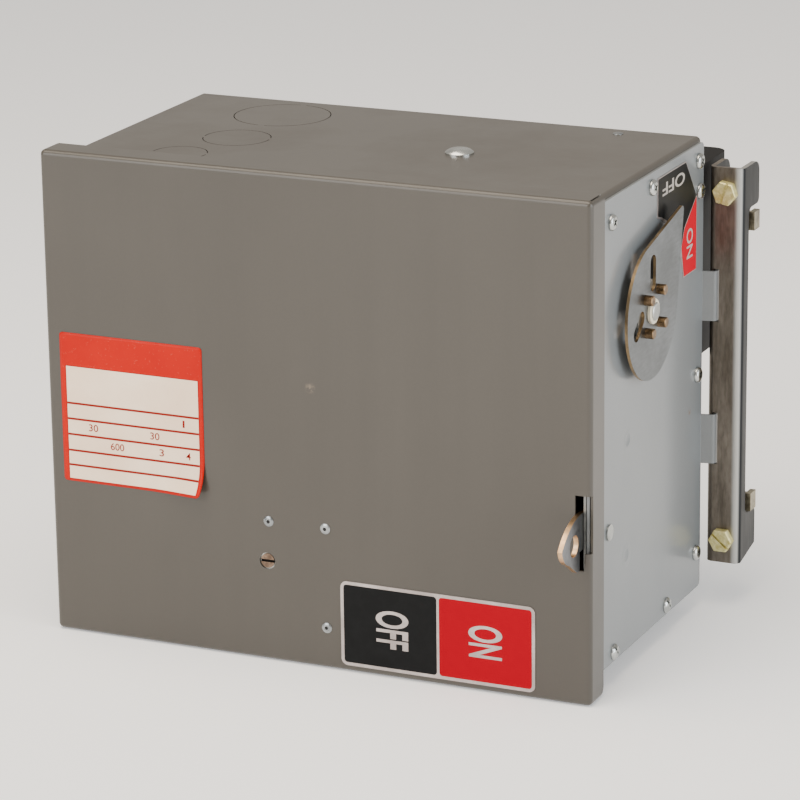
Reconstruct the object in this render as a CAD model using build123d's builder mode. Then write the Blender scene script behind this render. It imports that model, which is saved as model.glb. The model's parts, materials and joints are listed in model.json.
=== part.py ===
from build123d import *
from math import cos, radians, sin
import os

os.makedirs("parts", exist_ok=True)

# Fusible busway tap off box, in millimetres. X runs to the right seen from the cover, Y from the
# cover to the busway, Z up. The origin is the centre of the back plate's rear face, which seats
# on the busway. The switch stands at OFF and the cover is shut.

# Enclosure sheet metal
box_width = 282.0
box_height = 240.0
box_depth = 153.3
box_sheet = 1.5
box_bend = 2.5
screw_flange = 16.5
back_flange = 14.0
panel_sheet = 1.5
panel_lap = 1.2
panel_front_gap = 0.5
panel_corner = 3.0
fold_gap = 0.5

# Cover
cover_sheet = 1.2
cover_bend = 2.6
cover_rim = 16.6
cover_over_left = 9.9
cover_over_top = 2.7
cover_over_bottom = 8.7
cover_side_clear = 0.9
cover_front_clear = 1.5
rim_slit = 0.8
rim_corner = 6.0

# Knockouts: distance from the box's left wall, from its back, radius, and angle of the ties
knockouts = [
    (63.8, 32.1, 25.2, 90.0),
    (64.9, 86.6, 17.4, 12.0),
    (53.1, box_depth - 26.8, 14.1, 12.0),
]
knockout_cut = 0.45
knockout_tie = 3.2

# Rolled hinges on the left, under the cover's rim
hinge_leaf = 1.2
knuckle_radius = 2.6
hinge_pin_radius = 1.3
running_clear = 0.05
hinge_rim_gap = 2.5
hinge_length = 50.0
hinge_cover_knuckle = 20.0
hinge_knuckle_gap = 0.2
hinge_box_leaf_width = 24.0
hinge_spacing = 150.0
hinge_leaf_inset = 3.0
hinge_roll_inset = 1.5
small_step = 1.0

# Switch shaft, handle and pointer plate
shaft_back = 86.0
shaft_from_top = 67.5
shaft_radius = 4.5
shaft_chamfer = 0.4
handle_throw_angle = 32.0
handle_round = 34.0
handle_round_at = (1.0, -0.5)
handle_tip = 60.0
handle_tip_radius = 2.0
handle_thick = 1.5
handle_tip_angle = 45.0
hub_gap = 0.2
hub_radius = 15.6
hub_thick = 2.0
bearing_flange_radius = 11.0
bearing_flange = 2.2
bearing_radius = 6.5
bearing_inside = 5.5
stud_circle_radius = 12.0
stud_radius = 2.6
stud_proud = 4.3
stud_count = 4
stud_start_angle = 50.0
drive_slots = [(1.0, 18.9, 89.0, 18.0), (-17.5, -3.5, 42.0, 16.5)]
drive_slot_width = 7.5
centre_washer_radius = 6.3
centre_washer_thick = 1.6
shaft_proud = 0.8

# Phases and plug-in stabs
pole_pitch = 36.0
last_phase_from_right = 29.0
phase_count = 3
cell_wall = 3.0

# Crossbar and moving blades
crossbar_radius = 9.0
crossbar_neck = 1.5
blade_reach = 38.0
blade_width = 12.0
blade_thick = 2.4
blade_clear = 0.15
jaw_leaf = 1.2
jaw_depth = 14.0
jaw_start = 28.0
jaw_root = 42.0
strap_thick = 1.6
strap_width = 12.0

# Switch base moulding
base_back = 10.5
base_front_reach = 26.0
shelf = 6.0
shelf_clear = 3.0
journal_clear = 0.1
base_ear = 28.5
base_ear_thick = 4.0
base_screw_head = 5.0
base_screw_inset = 7.0
base_screw_drop = 43.0
base_boss = 5.0
strap_clear = 0.5

# Fuses: ferrule type, 30 A and 600 V
fuse_radius = 10.3
fuse_body_radius = 9.6
fuse_length = 57.0
fuse_ferrule = 12.7
fuse_height = -46.0
clip_sheet = 1.0
clip_width = 10.0
clip_mouth = 100.0
pedestal_back = 48.0
pedestal_height = 13.0
barrier_front = 88.0
fuse_block_bottom = -101.0
fuse_block_gap = 1.0
fuse_ear = 12.5
fuse_screw_inset = 10.0
fuse_cap = 0.8
clip_lip = 3.0
clip_tail = 29.0
pedestal_width = 16.0
lug_width = 13.0
lug_height = 15.0
lug_depth = 13.0
lug_bore = 3.4
lug_screw_radius = 2.9
lug_screw_proud = 1.5
hex_socket = 1.6
neutral_rise = 25.5
neutral_end = 47.5
ground_lug_from_left = 81.0
ground_lug_from_bottom = 25.0

# Stab moulding and stabs on the back
stab_block_margin = 26.0
stab_block_reach = 47.0
stab_block_over = 7.4
stab_block_under = 4.4
stab_block_corner = 8.0
stab_above_shaft = 1.5
stab_leaf = 1.6
stab_gap = 6.2
stab_tall = 18.0
stab_reach = 58.0
stab_root = 10.0
stab_floor = 3.0
stab_cell_width = 16.0
stab_cell_height = 24.0
stab_cell_wall = 3.0
stab_pinch = 0.9
stab_bend = 1.4
stab_flare = 1.2
window_margin = 5.0
block_screw_length = 8.0
block_screw_spread = 0.4

# Clamp channel, its bolts and jaws
channel_gap = 2.0
channel_width = 18.2
channel_sheet = 2.5
channel_bend = 3.5
channel_front = 4.0
channel_height = 209.0
channel_centre = -0.4
channel_rim = 9.0
channel_ear = 24.0
ear_throat = 4.0
ear_edge = 3.0
upper_ear = 22.1
lower_ear = 24.4
ear_corner = 6.0
ear_rise = 4.9
bolt_inset = 12.6
bolt_radius = 3.1
bolt_across_flats = 11.1
bolt_head = 4.2
bolt_slot = 1.3
bolt_slot_angles = (-40.0, 72.0)
bolt_head_angles = (0.0, -10.0)
bolt_edge = 0.5
bolt_clear = 0.4
bolt_reach = 31.0
jaw_plate = 3.0
jaw_back = 20.0
jaw_body_width = 12.4
jaw_finger_reach = 10.6
jaw_finger_drop = 17.2
jaw_beyond_bolt = 6.5
jaw_finger_height = 9.5
jaw_lip = 5.0

# Tabs of the side panel that carry the channel
tab_height = 26.0
tab_spacing = 75.8
tab_centre = -0.5
tab_out = 7.0
tab_back = 6.5
tab_clear = 0.8
tab_step = 0.3
tab_bend = 1.0

# Hooks at the other side of the busway
hook_from_right = 191.0
hook_foot = 28.0
hook_reach = 26.0
hook_tip = 14.0
hook_sheet = 2.5
hook_height = 30.0
hook_spacing = 140.0
hook_bend = 3.5
hook_rivet_offset = 16.0
hook_rivet_spread = 8.0

# Mechanism plate and padlock hook
mechanism_sheet = 1.2
mechanism_gap = 0.4
mechanism_back = 42.0
mechanism_bottom = -70.0
mechanism_top = 96.0
hook_plate = 2.4
hook_gap = 0.3
hook_pivot_from_front = 25.2
hook_pivot_height = -48.4
hook_pivot_radius = 3.0
hook_rivet_gap = 0.3
hook_rivet_flange = 1.0
hook_rivet_head = 1.0
padlock_hole = 5.4
padlock_edge = 1.7
padlock_z = -44.5
slot_bottom = -50.8
slot_top = -21.8
slot_wrap = 2.3
slot_side = 0.5
slot_swing = 2.2
slot_swing_low = 1.8
slot_below_nose = 0.6
hook_nose_gap = 1.2
hook_neck_gap = 1.2
hook_eye = 8.0
hook_shoulder = -31.0
hook_shoulder_in = 8.0
hook_throat_in = 6.0
nose_proud = 23.6
nose_z = -43.0
nose_bend_proud = 12.6
nose_bend_z = -34.2
nose_low_in = 2.0
nose_low_z = -47.3
nose_edge_in = 8.6
nose_edge_z = -52.0
nose_tip = 3.4
nose_tip_z = -59.0

# Cover furniture
release_from_right = 170.8
release_from_bottom = 52.2
release_rivet_run = (1.2, 32.2)
release_rivet_rise = (21.3, 73.1)
release_margin = 7.0
release_hole = 4.3
release_head = 3.7
release_neck = 2.4
release_plate = 1.5
release_slot = 1.1
release_slot_depth = 0.6
release_sunk = 0.3
release_gap = 0.1
release_arm = 15.0
release_arm_width = 7.0
rivet_shank = 1.6
rivet_head = 2.7
rivet_head_height = 0.7
rivet_bore = 0.9

# Plates on the outside
label_width = 79.8
label_height = 77.8
label_from_left = 37.7
label_z = -8.9
label_thick = 0.3
label_corner = 2.0
switch_plate_width = 103.8
switch_plate_height = 44.0
switch_plate_from_right = 78.8
switch_plate_from_bottom = 25.4
switch_plate_thick = 0.5
switch_plate_corner = 3.5
legend_thick = 0.4
legend_front = 21.4
legend_top = 60.5
legend_shoulder = 60.7
legend_back = 76.3
legend_shoulder_height = 39.3
legend_bottom = 1.5
legend_inner_back = 58.1
legend_low_step = 40.7
legend_arc = 50.5
legend_arc_angle = 38.0

# Screws
panel_screw_head = 4.1
panel_screw_height = 2.3
panel_screw_shank = 1.9
panel_screw_length = 6.5
screw_recess = 1.0
screw_slot = 1.1
screw_clear = 0.15
cross_slot_angles = (30, 120)
cross_head_flat = 0.6
slotted_head_angle = 35
slotted_head_length = 9.0
screw_front = 27.1
screw_back = 6.3
screw_middle_back = 72.2
screw_drops = (14.2, 9.6, 11.0)
rim_screw_drop = 26.6
rim_screw_back = 5.2
rim_screw_middle = -2.2
rim_screw_rise = 22.3
slotted_front = 32.4
slotted_back = 48.2
slotted_rise = 7.6
top_screw_from_right = 99.2
top_screw_back = 77.4
top_screw_head = 7.2
top_screw_height = 2.6
dimples_at = [(-103.2, -8.7), (-104.6, -67.5)]
dimple_radius = 3.4
dimple_depth = 0.7
wrap_rivet_from_right = 42.0
wrap_rivet_back = 9.4

# Derived places
left = -box_width / 2
right = box_width / 2
top = box_height / 2
bottom = -box_height / 2
panel_inner = right - panel_sheet
cover_face = -box_depth - cover_front_clear - cover_sheet
cover_left = left - cover_over_left
cover_right = right + cover_side_clear + cover_sheet
cover_bottom = bottom - cover_over_bottom
cover_top = top + cover_over_top
cover_x = (cover_left + cover_right) / 2
cover_z = (cover_bottom + cover_top) / 2
rim_back = cover_face + cover_rim
hinge_x = left - knuckle_radius
hinge_y = rim_back + hinge_rim_gap
hinge_heights = (cover_z - hinge_spacing / 2, cover_z + hinge_spacing / 2)
shaft_y = -shaft_back
shaft_height = top - shaft_from_top
first_phase_x = right - last_phase_from_right - pole_pitch * (phase_count - 1)
phase_xs = [first_phase_x + pole_pitch * i for i in range(phase_count)]
stab_xs = [first_phase_x - pole_pitch] + phase_xs
wall_xs = [first_phase_x + pole_pitch * (i - 0.5) for i in range(phase_count + 1)]
back_inner = -box_sheet
mechanism_outer = panel_inner - mechanism_gap
mechanism_inner = mechanism_outer - mechanism_sheet
hook_outer = mechanism_inner - hook_gap
hook_inner = hook_outer - hook_plate
hook_pivot_y = -box_depth + hook_pivot_from_front
nose_root = cover_face - hook_nose_gap
plate_inner = right + bearing_flange + hub_gap + hub_thick
plate_outer = plate_inner + handle_thick
channel_left = right + channel_gap
channel_x = channel_left + channel_width / 2
channel_bottom = channel_centre - channel_height / 2
channel_top = channel_centre + channel_height / 2
bolt_heights = (channel_bottom + bolt_inset, channel_top - bolt_inset)
jaw_top = shaft_height + jaw_root + strap_thick
stab_height = shaft_height + stab_above_shaft
load_root = shaft_height - jaw_root - strap_thick
shelf_top = jaw_top + shelf_clear + shelf
shelf_bottom = load_root - shelf_clear - shelf
fuse_y = -(pedestal_back + strap_thick + clip_sheet + fuse_radius)
clip_heights = (fuse_height - (fuse_length - fuse_ferrule) / 2, fuse_height + (fuse_length - fuse_ferrule) / 2)
clip_tail_end = clip_heights[0] - clip_tail
clip_front = -(pedestal_back + strap_thick + clip_sheet)
base_left = wall_xs[0] - cell_wall / 2
base_right = wall_xs[-1] + cell_wall / 2
base_front = back_inner - base_back
base_reach = shaft_y - base_front_reach
stab_block_top = jaw_top + stab_block_over
stab_block_bottom = load_root - stab_block_under
fuse_block_top = shelf_bottom - fuse_block_gap
hook_x = right - hook_from_right
hook_heights = (-hook_spacing / 2, hook_spacing / 2)
hook_rivets_at = [
    (hook_x + hook_rivet_offset, height + side * hook_rivet_spread)
    for height in hook_heights
    for side in (-1, 1)
]
base_screws_at = [
    (base_left - base_ear / 2, shelf_bottom + base_screw_inset),
    (base_left - base_ear / 2, shelf_top - base_screw_drop),
    (base_left - fuse_ear / 2, fuse_block_bottom + fuse_screw_inset),
    (base_left - fuse_ear / 2, fuse_block_top - fuse_screw_inset),
]
wrap_screws_at = [
    (-box_depth + screw_front, top - screw_drops[0]),
    (-screw_middle_back, top - screw_drops[1]),
    (-screw_back, top - screw_drops[2]),
]
rim_screws_at = [
    (-rim_screw_back, top - rim_screw_drop),
    (-screw_back, rim_screw_middle),
    (-screw_back, bottom + rim_screw_rise),
]
slotted_screws_at = [
    (-slotted_back, bottom + slotted_rise),
    (-box_depth + slotted_front, bottom + slotted_rise),
]
top_screw_at = (right - top_screw_from_right, -top_screw_back)
wrap_rivet_at = (right - wrap_rivet_from_right, -wrap_rivet_back)
release_x = right - release_from_right
release_z = cover_bottom + release_from_bottom
release_rivets = [
    (release_x + release_rivet_run[0], cover_bottom + release_rivet_rise[1]),
    (release_x + release_rivet_run[1], cover_bottom + release_rivet_rise[1]),
    (release_x + release_rivet_run[1], cover_bottom + release_rivet_rise[0]),
]


def facing(axis, x, y, z):
    """Plane whose normal is the axis, for placing fasteners."""
    return Plane(origin=(x, y, z), z_dir=axis)


def folded_pan(plane, width, height, depth, sheet, bend, open_end):
    """Pan folded from sheet: floor on the plane, rim along its normal, open at the end."""
    with BuildPart() as pan:
        with BuildSketch(plane):
            RectangleRounded(width, height, bend)
        extrude(amount=depth)
        fillet(faces().filter_by(Axis.Y).sort_by(open_end)[0].edges(), bend)
        offset(amount=-sheet, openings=faces().sort_by(open_end)[-1])
    return pan.part


def headed(head_radius, head_height, shank_radius, shank_length, flat=0.25, slots=(), slot_length=4.0):
    """Domed screw or rivet along +Z, its head's underside at zero, with a slot for each angle."""
    flat_radius = head_radius * flat
    with BuildPart() as piece:
        with BuildSketch(Plane.XZ):
            with BuildLine():
                Polyline((0, head_height), (0, 0), (head_radius, 0), (head_radius, head_height * 0.3))
                ThreePointArc(
                    (head_radius, head_height * 0.3),
                    (head_radius * (2 + flat) / 3, head_height * 0.8),
                    (flat_radius, head_height),
                )
                Line((flat_radius, head_height), (0, head_height))
            make_face()
        revolve(axis=Axis.Z)
        with BuildSketch():
            Circle(shank_radius)
        extrude(amount=-shank_length)
        if slots:
            with BuildSketch(Plane.XY.offset(head_height)):
                for turn in slots:
                    Rectangle(slot_length, screw_slot, rotation=turn)
            extrude(amount=-screw_recess, mode=Mode.SUBTRACT)
    return piece.part


# Fasteners that are repeated
cross_screw = headed(
    panel_screw_head, panel_screw_height, panel_screw_shank, panel_screw_length,
    flat=cross_head_flat, slots=cross_slot_angles, slot_length=panel_screw_head,
)
slotted_screw = headed(
    panel_screw_head, panel_screw_height, panel_screw_shank, panel_screw_length,
    slots=(slotted_head_angle,), slot_length=slotted_head_length,
)
short_rivet = headed(rivet_head, rivet_head_height, rivet_shank, cover_sheet + release_plate)

# Enclosure wrap: top, left side and bottom from one sheet
with BuildPart() as enclosure_wrap:
    flange_x = panel_inner - box_sheet / 2
    with BuildSketch(Plane.XZ):
        with BuildLine():
            FilletPolyline(
                (flange_x, top - screw_flange),
                (flange_x, top - box_sheet / 2),
                (left + box_sheet / 2, top - box_sheet / 2),
                (left + box_sheet / 2, bottom + box_sheet / 2),
                (flange_x, bottom + box_sheet / 2),
                (flange_x, bottom + screw_flange),
                radius=box_bend - box_sheet / 2,
            )
        trace(line_width=box_sheet)
    extrude(amount=box_depth)
    for from_left, from_back, radius, tie_angle in knockouts:
        for level in (top, bottom + box_sheet):
            with BuildSketch(Plane.XY.offset(level)):
                with Locations((left + from_left, -from_back)):
                    Circle(radius)
                    Circle(radius - knockout_cut, mode=Mode.SUBTRACT)
                    Rectangle(3 * radius, knockout_tie, rotation=tie_angle, mode=Mode.SUBTRACT)
            extrude(amount=-box_sheet, mode=Mode.SUBTRACT)
    with BuildSketch(Plane.YZ.offset(panel_inner)):
        with Locations(*wrap_screws_at, *slotted_screws_at):
            Circle(panel_screw_shank + screw_clear)
    extrude(amount=-2 * box_sheet, mode=Mode.SUBTRACT)
    with BuildSketch(Plane.XY.offset(top)):
        with Locations(top_screw_at):
            Circle(panel_screw_shank + screw_clear)
    extrude(amount=-box_sheet, mode=Mode.SUBTRACT)
    with BuildSketch(Plane.XY.offset(top)):
        with Locations(wrap_rivet_at):
            Circle(rivet_shank)
    extrude(amount=-box_height, mode=Mode.SUBTRACT)
enclosure_wrap.part.label = "enclosure_wrap"
export_step(enclosure_wrap.part, "parts/enclosure_wrap.step")

# Side panel with its two joggled tabs
tab_levels = [tab_centre - tab_spacing / 2, tab_centre + tab_spacing / 2]
with BuildPart() as side_panel:
    panel_front = -box_depth + panel_front_gap
    panel_height = box_height - 2 * box_bend
    with BuildSketch(Plane.YZ.offset(panel_inner)):
        with Locations(((panel_front + panel_lap) / 2, 0)):
            RectangleRounded(panel_lap - panel_front, panel_height, panel_corner)
        with Locations(*wrap_screws_at, *rim_screws_at, *slotted_screws_at):
            Circle(panel_screw_shank + screw_clear, mode=Mode.SUBTRACT)
        with Locations((shaft_y, shaft_height)):
            Circle(bearing_radius, mode=Mode.SUBTRACT)
        with Locations((hook_pivot_y, hook_pivot_height)):
            Circle(hook_pivot_radius, mode=Mode.SUBTRACT)
    extrude(amount=panel_sheet)
    dimple_ball = (dimple_radius**2 + dimple_depth**2) / (2 * dimple_depth)
    with Locations(*[(right + dimple_ball - dimple_depth, y, z) for y, z in dimples_at]):
        Sphere(dimple_ball, mode=Mode.SUBTRACT)
    for level in tab_levels:
        with BuildSketch(Plane.XY.offset(level - tab_height / 2)):
            with BuildLine():
                FilletPolyline(
                    (right - panel_sheet / 2, -panel_sheet),
                    (right - panel_sheet / 2, panel_lap),
                    (right - panel_sheet / 2 + tab_out, channel_front - panel_sheet + tab_step),
                    (right - panel_sheet / 2 + tab_out, channel_front + tab_back),
                    radius=tab_bend,
                )
            trace(line_width=panel_sheet)
        extrude(amount=tab_height)
side_panel.part.label = "side_panel"
export_step(side_panel.part, "parts/side_panel.step")

# Back plate, a shallow pan with the stab window
window_width = stab_xs[-1] - stab_xs[0] + 2 * (stab_block_margin - window_margin)
window_height = stab_block_top - stab_block_bottom - 2 * window_margin
window_x = (stab_xs[0] + stab_xs[-1]) / 2
window_z = (stab_block_top + stab_block_bottom) / 2
block_screws_at = [
    (window_x + side * window_width * block_screw_spread, window_z + end * (window_height + window_margin) / 2)
    for side in (-1, 1)
    for end in (-1, 1)
]
plate_width = panel_inner - left - box_sheet
plate_x = (panel_inner + left + box_sheet) / 2
back_pan = folded_pan(
    Plane(origin=(plate_x, 0, 0), x_dir=(1, 0, 0), z_dir=(0, -1, 0)),
    plate_width, box_height - 2 * box_sheet, back_flange, box_sheet, box_bend, -Axis.Y,
)
with BuildPart() as back_plate:
    add(back_pan)
    corner_gap = screw_flange - box_sheet + fold_gap
    corner_width = box_sheet + box_bend
    for end in (-1, 1):
        corner_z = end * (top - box_sheet - corner_gap / 2)
        with Locations((panel_inner - corner_width / 2, -back_flange / 2, corner_z)):
            Box(corner_width, back_flange, corner_gap, mode=Mode.SUBTRACT)
    with BuildSketch(Plane.XZ):
        with Locations((window_x, window_z)):
            Rectangle(window_width, window_height)
        with Locations(*block_screws_at, *hook_rivets_at):
            Circle(rivet_shank)
        with Locations(*base_screws_at):
            Circle(panel_screw_shank)
        with Locations(*[(hook_x, height) for height in hook_heights]):
            Rectangle(hook_sheet + 6 * fold_gap, hook_height + 2 * fold_gap)
    extrude(amount=box_sheet, mode=Mode.SUBTRACT)
    with BuildSketch(Plane.XY.offset(top)):
        with Locations(wrap_rivet_at):
            Circle(rivet_shank)
    extrude(amount=-box_height, mode=Mode.SUBTRACT)
    with BuildSketch(Plane.YZ.offset(panel_inner)):
        with Locations(*rim_screws_at):
            Circle(panel_screw_shank + screw_clear)
    extrude(amount=-box_sheet, mode=Mode.SUBTRACT)
back_plate.part.label = "back_plate"
export_step(back_plate.part, "parts/back_plate.step")

# Screws round the side panel
with BuildPart() as panel_screws:
    with Locations(*[facing((1, 0, 0), right, y, z) for y, z in wrap_screws_at + rim_screws_at]):
        add(cross_screw)
panel_screws.part.label = "panel_screws"
export_step(panel_screws.part, "parts/panel_screws.step")

with BuildPart() as bottom_screws:
    with Locations(*[facing((1, 0, 0), right, y, z) for y, z in slotted_screws_at]):
        add(slotted_screw)
bottom_screws.part.label = "bottom_screws"
export_step(bottom_screws.part, "parts/bottom_screws.step")

# Cover, a pan with open corners, the hook slot and its release hole
slot_left = hook_inner - slot_side
cover_pan = folded_pan(
    Plane(origin=(cover_x, cover_face, cover_z), x_dir=(1, 0, 0), z_dir=(0, 1, 0)),
    cover_right - cover_left, cover_top - cover_bottom, cover_rim, cover_sheet, cover_bend, Axis.Y,
)
with BuildPart() as cover:
    add(cover_pan)
    for x in (cover_left, cover_right):
        for z in (cover_bottom, cover_top):
            side = 1 if x > 0 else -1
            end = 1 if z > 0 else -1
            slit_x = x - side * (cover_sheet + cover_bend / 2 - rim_slit)
            with Locations((slit_x, cover_face + cover_bend + cover_rim / 2, z - end * cover_sheet / 2)):
                Box(rim_slit, cover_rim, 2 * cover_bend, mode=Mode.SUBTRACT)
    slot_middle = (slot_bottom + slot_top) / 2
    relief_bottom = nose_tip_z - slot_below_nose
    with BuildSketch(Plane.XZ.offset(-cover_face)):
        with Locations(((slot_left + cover_right) / 2, slot_middle)):
            Rectangle(cover_right - slot_left, slot_top - slot_bottom)
        with BuildLine():
            Polyline(
                (slot_left, slot_bottom),
                (slot_left, relief_bottom),
                (hook_outer + slot_swing_low, relief_bottom),
                (hook_outer + slot_swing, slot_bottom),
                close=True,
            )
        make_face()
        with Locations((release_x, release_z)):
            Circle(release_hole)
        with Locations(*release_rivets):
            Circle(rivet_shank)
    extrude(amount=-slot_wrap, mode=Mode.SUBTRACT)
    rim_start = cover_right - cover_bend / 2
    with BuildSketch(Plane.YZ.offset(rim_start)):
        with Locations((rim_back, cover_bottom)):
            Rectangle(rim_corner, rim_corner, align=(Align.MAX, Align.MIN))
        with Locations((rim_back - rim_corner, cover_bottom + rim_corner)):
            Circle(rim_corner, mode=Mode.SUBTRACT)
    extrude(amount=cover_bend / 2, mode=Mode.SUBTRACT)
cover.part.label = "cover"
export_step(cover.part, "parts/cover.step")

# Hinges: box leaves, cover leaves and pins
outer_knuckle = (hinge_length - hinge_cover_knuckle) / 2 - hinge_knuckle_gap
with BuildPart() as hinge_box_leaves:
    for height in hinge_heights:
        for end in (-1, 1):
            knuckle_z = height + end * (hinge_length - outer_knuckle) / 2
            with BuildSketch(Plane.XY.offset(knuckle_z - outer_knuckle / 2)):
                with Locations((left - hinge_leaf / 2, hinge_y + hinge_box_leaf_width / 2)):
                    Rectangle(hinge_leaf, hinge_box_leaf_width)
                with Locations((hinge_x, hinge_y)):
                    Circle(knuckle_radius)
                    Circle(hinge_pin_radius, mode=Mode.SUBTRACT)
            extrude(amount=outer_knuckle)
        with BuildSketch(Plane.XY.offset(height - hinge_length / 2)):
            leaf_start = hinge_y + knuckle_radius + small_step
            leaf_end = hinge_y + hinge_box_leaf_width
            with Locations((left - hinge_leaf / 2, (leaf_start + leaf_end) / 2)):
                Rectangle(hinge_leaf, leaf_end - leaf_start)
        extrude(amount=hinge_length)
hinge_box_leaves.part.label = "hinge_box_leaves"
export_step(hinge_box_leaves.part, "parts/hinge_box_leaves.step")

with BuildPart() as hinge_cover_leaves:
    for height in hinge_heights:
        with BuildSketch(Plane.XY.offset(height - hinge_cover_knuckle / 2)):
            with BuildLine():
                leaf_x = cover_left + cover_sheet + hinge_leaf / 2
                FilletPolyline(
                    (leaf_x, cover_face + cover_bend + small_step),
                    (leaf_x, rim_back - hinge_leaf_inset),
                    (hinge_x - hinge_roll_inset, hinge_y - hinge_roll_inset),
                    radius=small_step,
                )
            trace(line_width=hinge_leaf)
            with Locations((hinge_x, hinge_y)):
                Circle(knuckle_radius)
                Circle(hinge_pin_radius + running_clear, mode=Mode.SUBTRACT)
        extrude(amount=hinge_cover_knuckle)
hinge_cover_leaves.part.label = "hinge_cover_leaves"
export_step(hinge_cover_leaves.part, "parts/hinge_cover_leaves.step")

with BuildPart() as hinge_pins:
    for height in hinge_heights:
        with BuildSketch(Plane.XY.offset(height - hinge_length / 2)):
            with Locations((hinge_x, hinge_y)):
                Circle(hinge_pin_radius)
        extrude(amount=hinge_length)
hinge_pins.part.label = "hinge_pins"
export_step(hinge_pins.part, "parts/hinge_pins.step")

# Release plate, rivets and slotted release screw inside the cover
inside_cover = cover_face + cover_sheet
release_back = inside_cover + release_plate
with BuildPart() as release_plate_piece:
    with BuildSketch(Plane.XZ.offset(-release_back)):
        with BuildLine():
            FilletPolyline(
                (release_x - release_margin, release_rivets[0][1] + release_margin),
                (release_rivets[1][0] + release_margin, release_rivets[1][1] + release_margin),
                (release_rivets[2][0] + release_margin, release_rivets[2][1] - release_margin),
                (release_rivets[2][0] - release_margin, release_rivets[2][1] - release_margin),
                (release_x - release_margin, release_z - release_margin),
                radius=panel_corner,
                close=True,
            )
        make_face()
        with Locations(*release_rivets):
            Circle(rivet_shank, mode=Mode.SUBTRACT)
        with Locations((release_x, release_z)):
            Circle(release_neck + running_clear, mode=Mode.SUBTRACT)
    extrude(amount=release_plate)
release_plate_piece.part.label = "release_plate"
export_step(release_plate_piece.part, "parts/release_plate.step")

with BuildPart() as cover_rivets:
    with Locations(*[facing((0, -1, 0), x, cover_face, z) for x, z in release_rivets]):
        add(short_rivet)
        Hole(rivet_bore)
cover_rivets.part.label = "cover_rivets"
export_step(cover_rivets.part, "parts/cover_rivets.step")

with BuildPart() as release_screw:
    with BuildSketch(Plane.XZ.offset(-inside_cover + release_gap)):
        with Locations((release_x, release_z)):
            Circle(release_head)
    extrude(amount=cover_sheet - release_gap - release_sunk)
    with BuildSketch(Plane.XZ.offset(-release_back - release_sunk)):
        with Locations((release_x, release_z)):
            Circle(release_neck)
    extrude(amount=release_plate + release_sunk + release_gap)
    with BuildSketch(Plane.XZ.offset(-cover_face - release_sunk)):
        with Locations((release_x, release_z)):
            Rectangle(2 * release_head, release_slot)
    extrude(amount=-release_slot_depth, mode=Mode.SUBTRACT)
release_screw.part.label = "release_screw"
export_step(release_screw.part, "parts/release_screw.step")

# Cam arm that the release screw swings behind its plate
with BuildPart() as release_arm_piece:
    with BuildSketch(Plane.XZ.offset(-release_back - release_sunk)):
        with Locations((release_x, release_z)):
            Circle(release_arm_width / 2 + small_step)
        with Locations((release_x, release_z + release_arm / 2)):
            Rectangle(release_arm_width, release_arm)
        with Locations((release_x, release_z + release_arm)):
            Circle(release_arm_width / 2)
        with Locations((release_x, release_z)):
            Circle(release_neck, mode=Mode.SUBTRACT)
    extrude(amount=-release_plate)
release_arm_piece.part.label = "release_arm"
export_step(release_arm_piece.part, "parts/release_arm.step")

# Plates on the cover
with BuildPart() as rating_label:
    with BuildSketch(Plane.XZ.offset(-cover_face)):
        with Locations((left + label_from_left, label_z)):
            RectangleRounded(label_width, label_height, label_corner)
    extrude(amount=label_thick)
rating_label.part.label = "rating_label"
export_step(rating_label.part, "parts/rating_label.step")

with BuildPart() as switch_label:
    with BuildSketch(Plane.XZ.offset(-cover_face)):
        with Locations((right - switch_plate_from_right, cover_bottom + switch_plate_from_bottom)):
            RectangleRounded(switch_plate_width, switch_plate_height, switch_plate_corner)
    extrude(amount=switch_plate_thick)
switch_label.part.label = "switch_label"
export_step(switch_label.part, "parts/switch_label.step")

# Position legend beside the pointer
with BuildPart() as position_legend:
    with BuildSketch(Plane(origin=(right, shaft_y, shaft_height), x_dir=(0, 1, 0), z_dir=(1, 0, 0))):
        with BuildLine():
            Polyline(
                (legend_front, legend_low_step),
                (legend_front, legend_top),
                (legend_shoulder, legend_top),
                (legend_back, legend_shoulder_height),
                (legend_back, legend_bottom),
                (legend_inner_back, legend_bottom),
            )
            ThreePointArc(
                (legend_inner_back, legend_bottom),
                (legend_arc * cos(radians(legend_arc_angle)), legend_arc * sin(radians(legend_arc_angle))),
                (legend_front, legend_low_step),
            )
        make_face()
    extrude(amount=legend_thick)
position_legend.part.label = "position_legend"
export_step(position_legend.part, "parts/position_legend.step")

# Mechanism plate inside the side panel
with BuildPart() as mechanism_plate:
    mechanism_front = -box_depth + panel_front_gap
    with BuildSketch(Plane.YZ.offset(mechanism_inner)):
        middle = ((mechanism_front - mechanism_back) / 2, (mechanism_bottom + mechanism_top) / 2)
        with Locations(middle):
            RectangleRounded(
                -mechanism_back - mechanism_front, mechanism_top - mechanism_bottom, panel_corner,
            )
        with Locations((shaft_y, shaft_height)):
            Circle(bearing_radius, mode=Mode.SUBTRACT)
        with Locations((hook_pivot_y, hook_pivot_height)):
            Circle(hook_pivot_radius, mode=Mode.SUBTRACT)
    extrude(amount=mechanism_sheet)
mechanism_plate.part.label = "mechanism_plate"
export_step(mechanism_plate.part, "parts/mechanism_plate.step")

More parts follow.
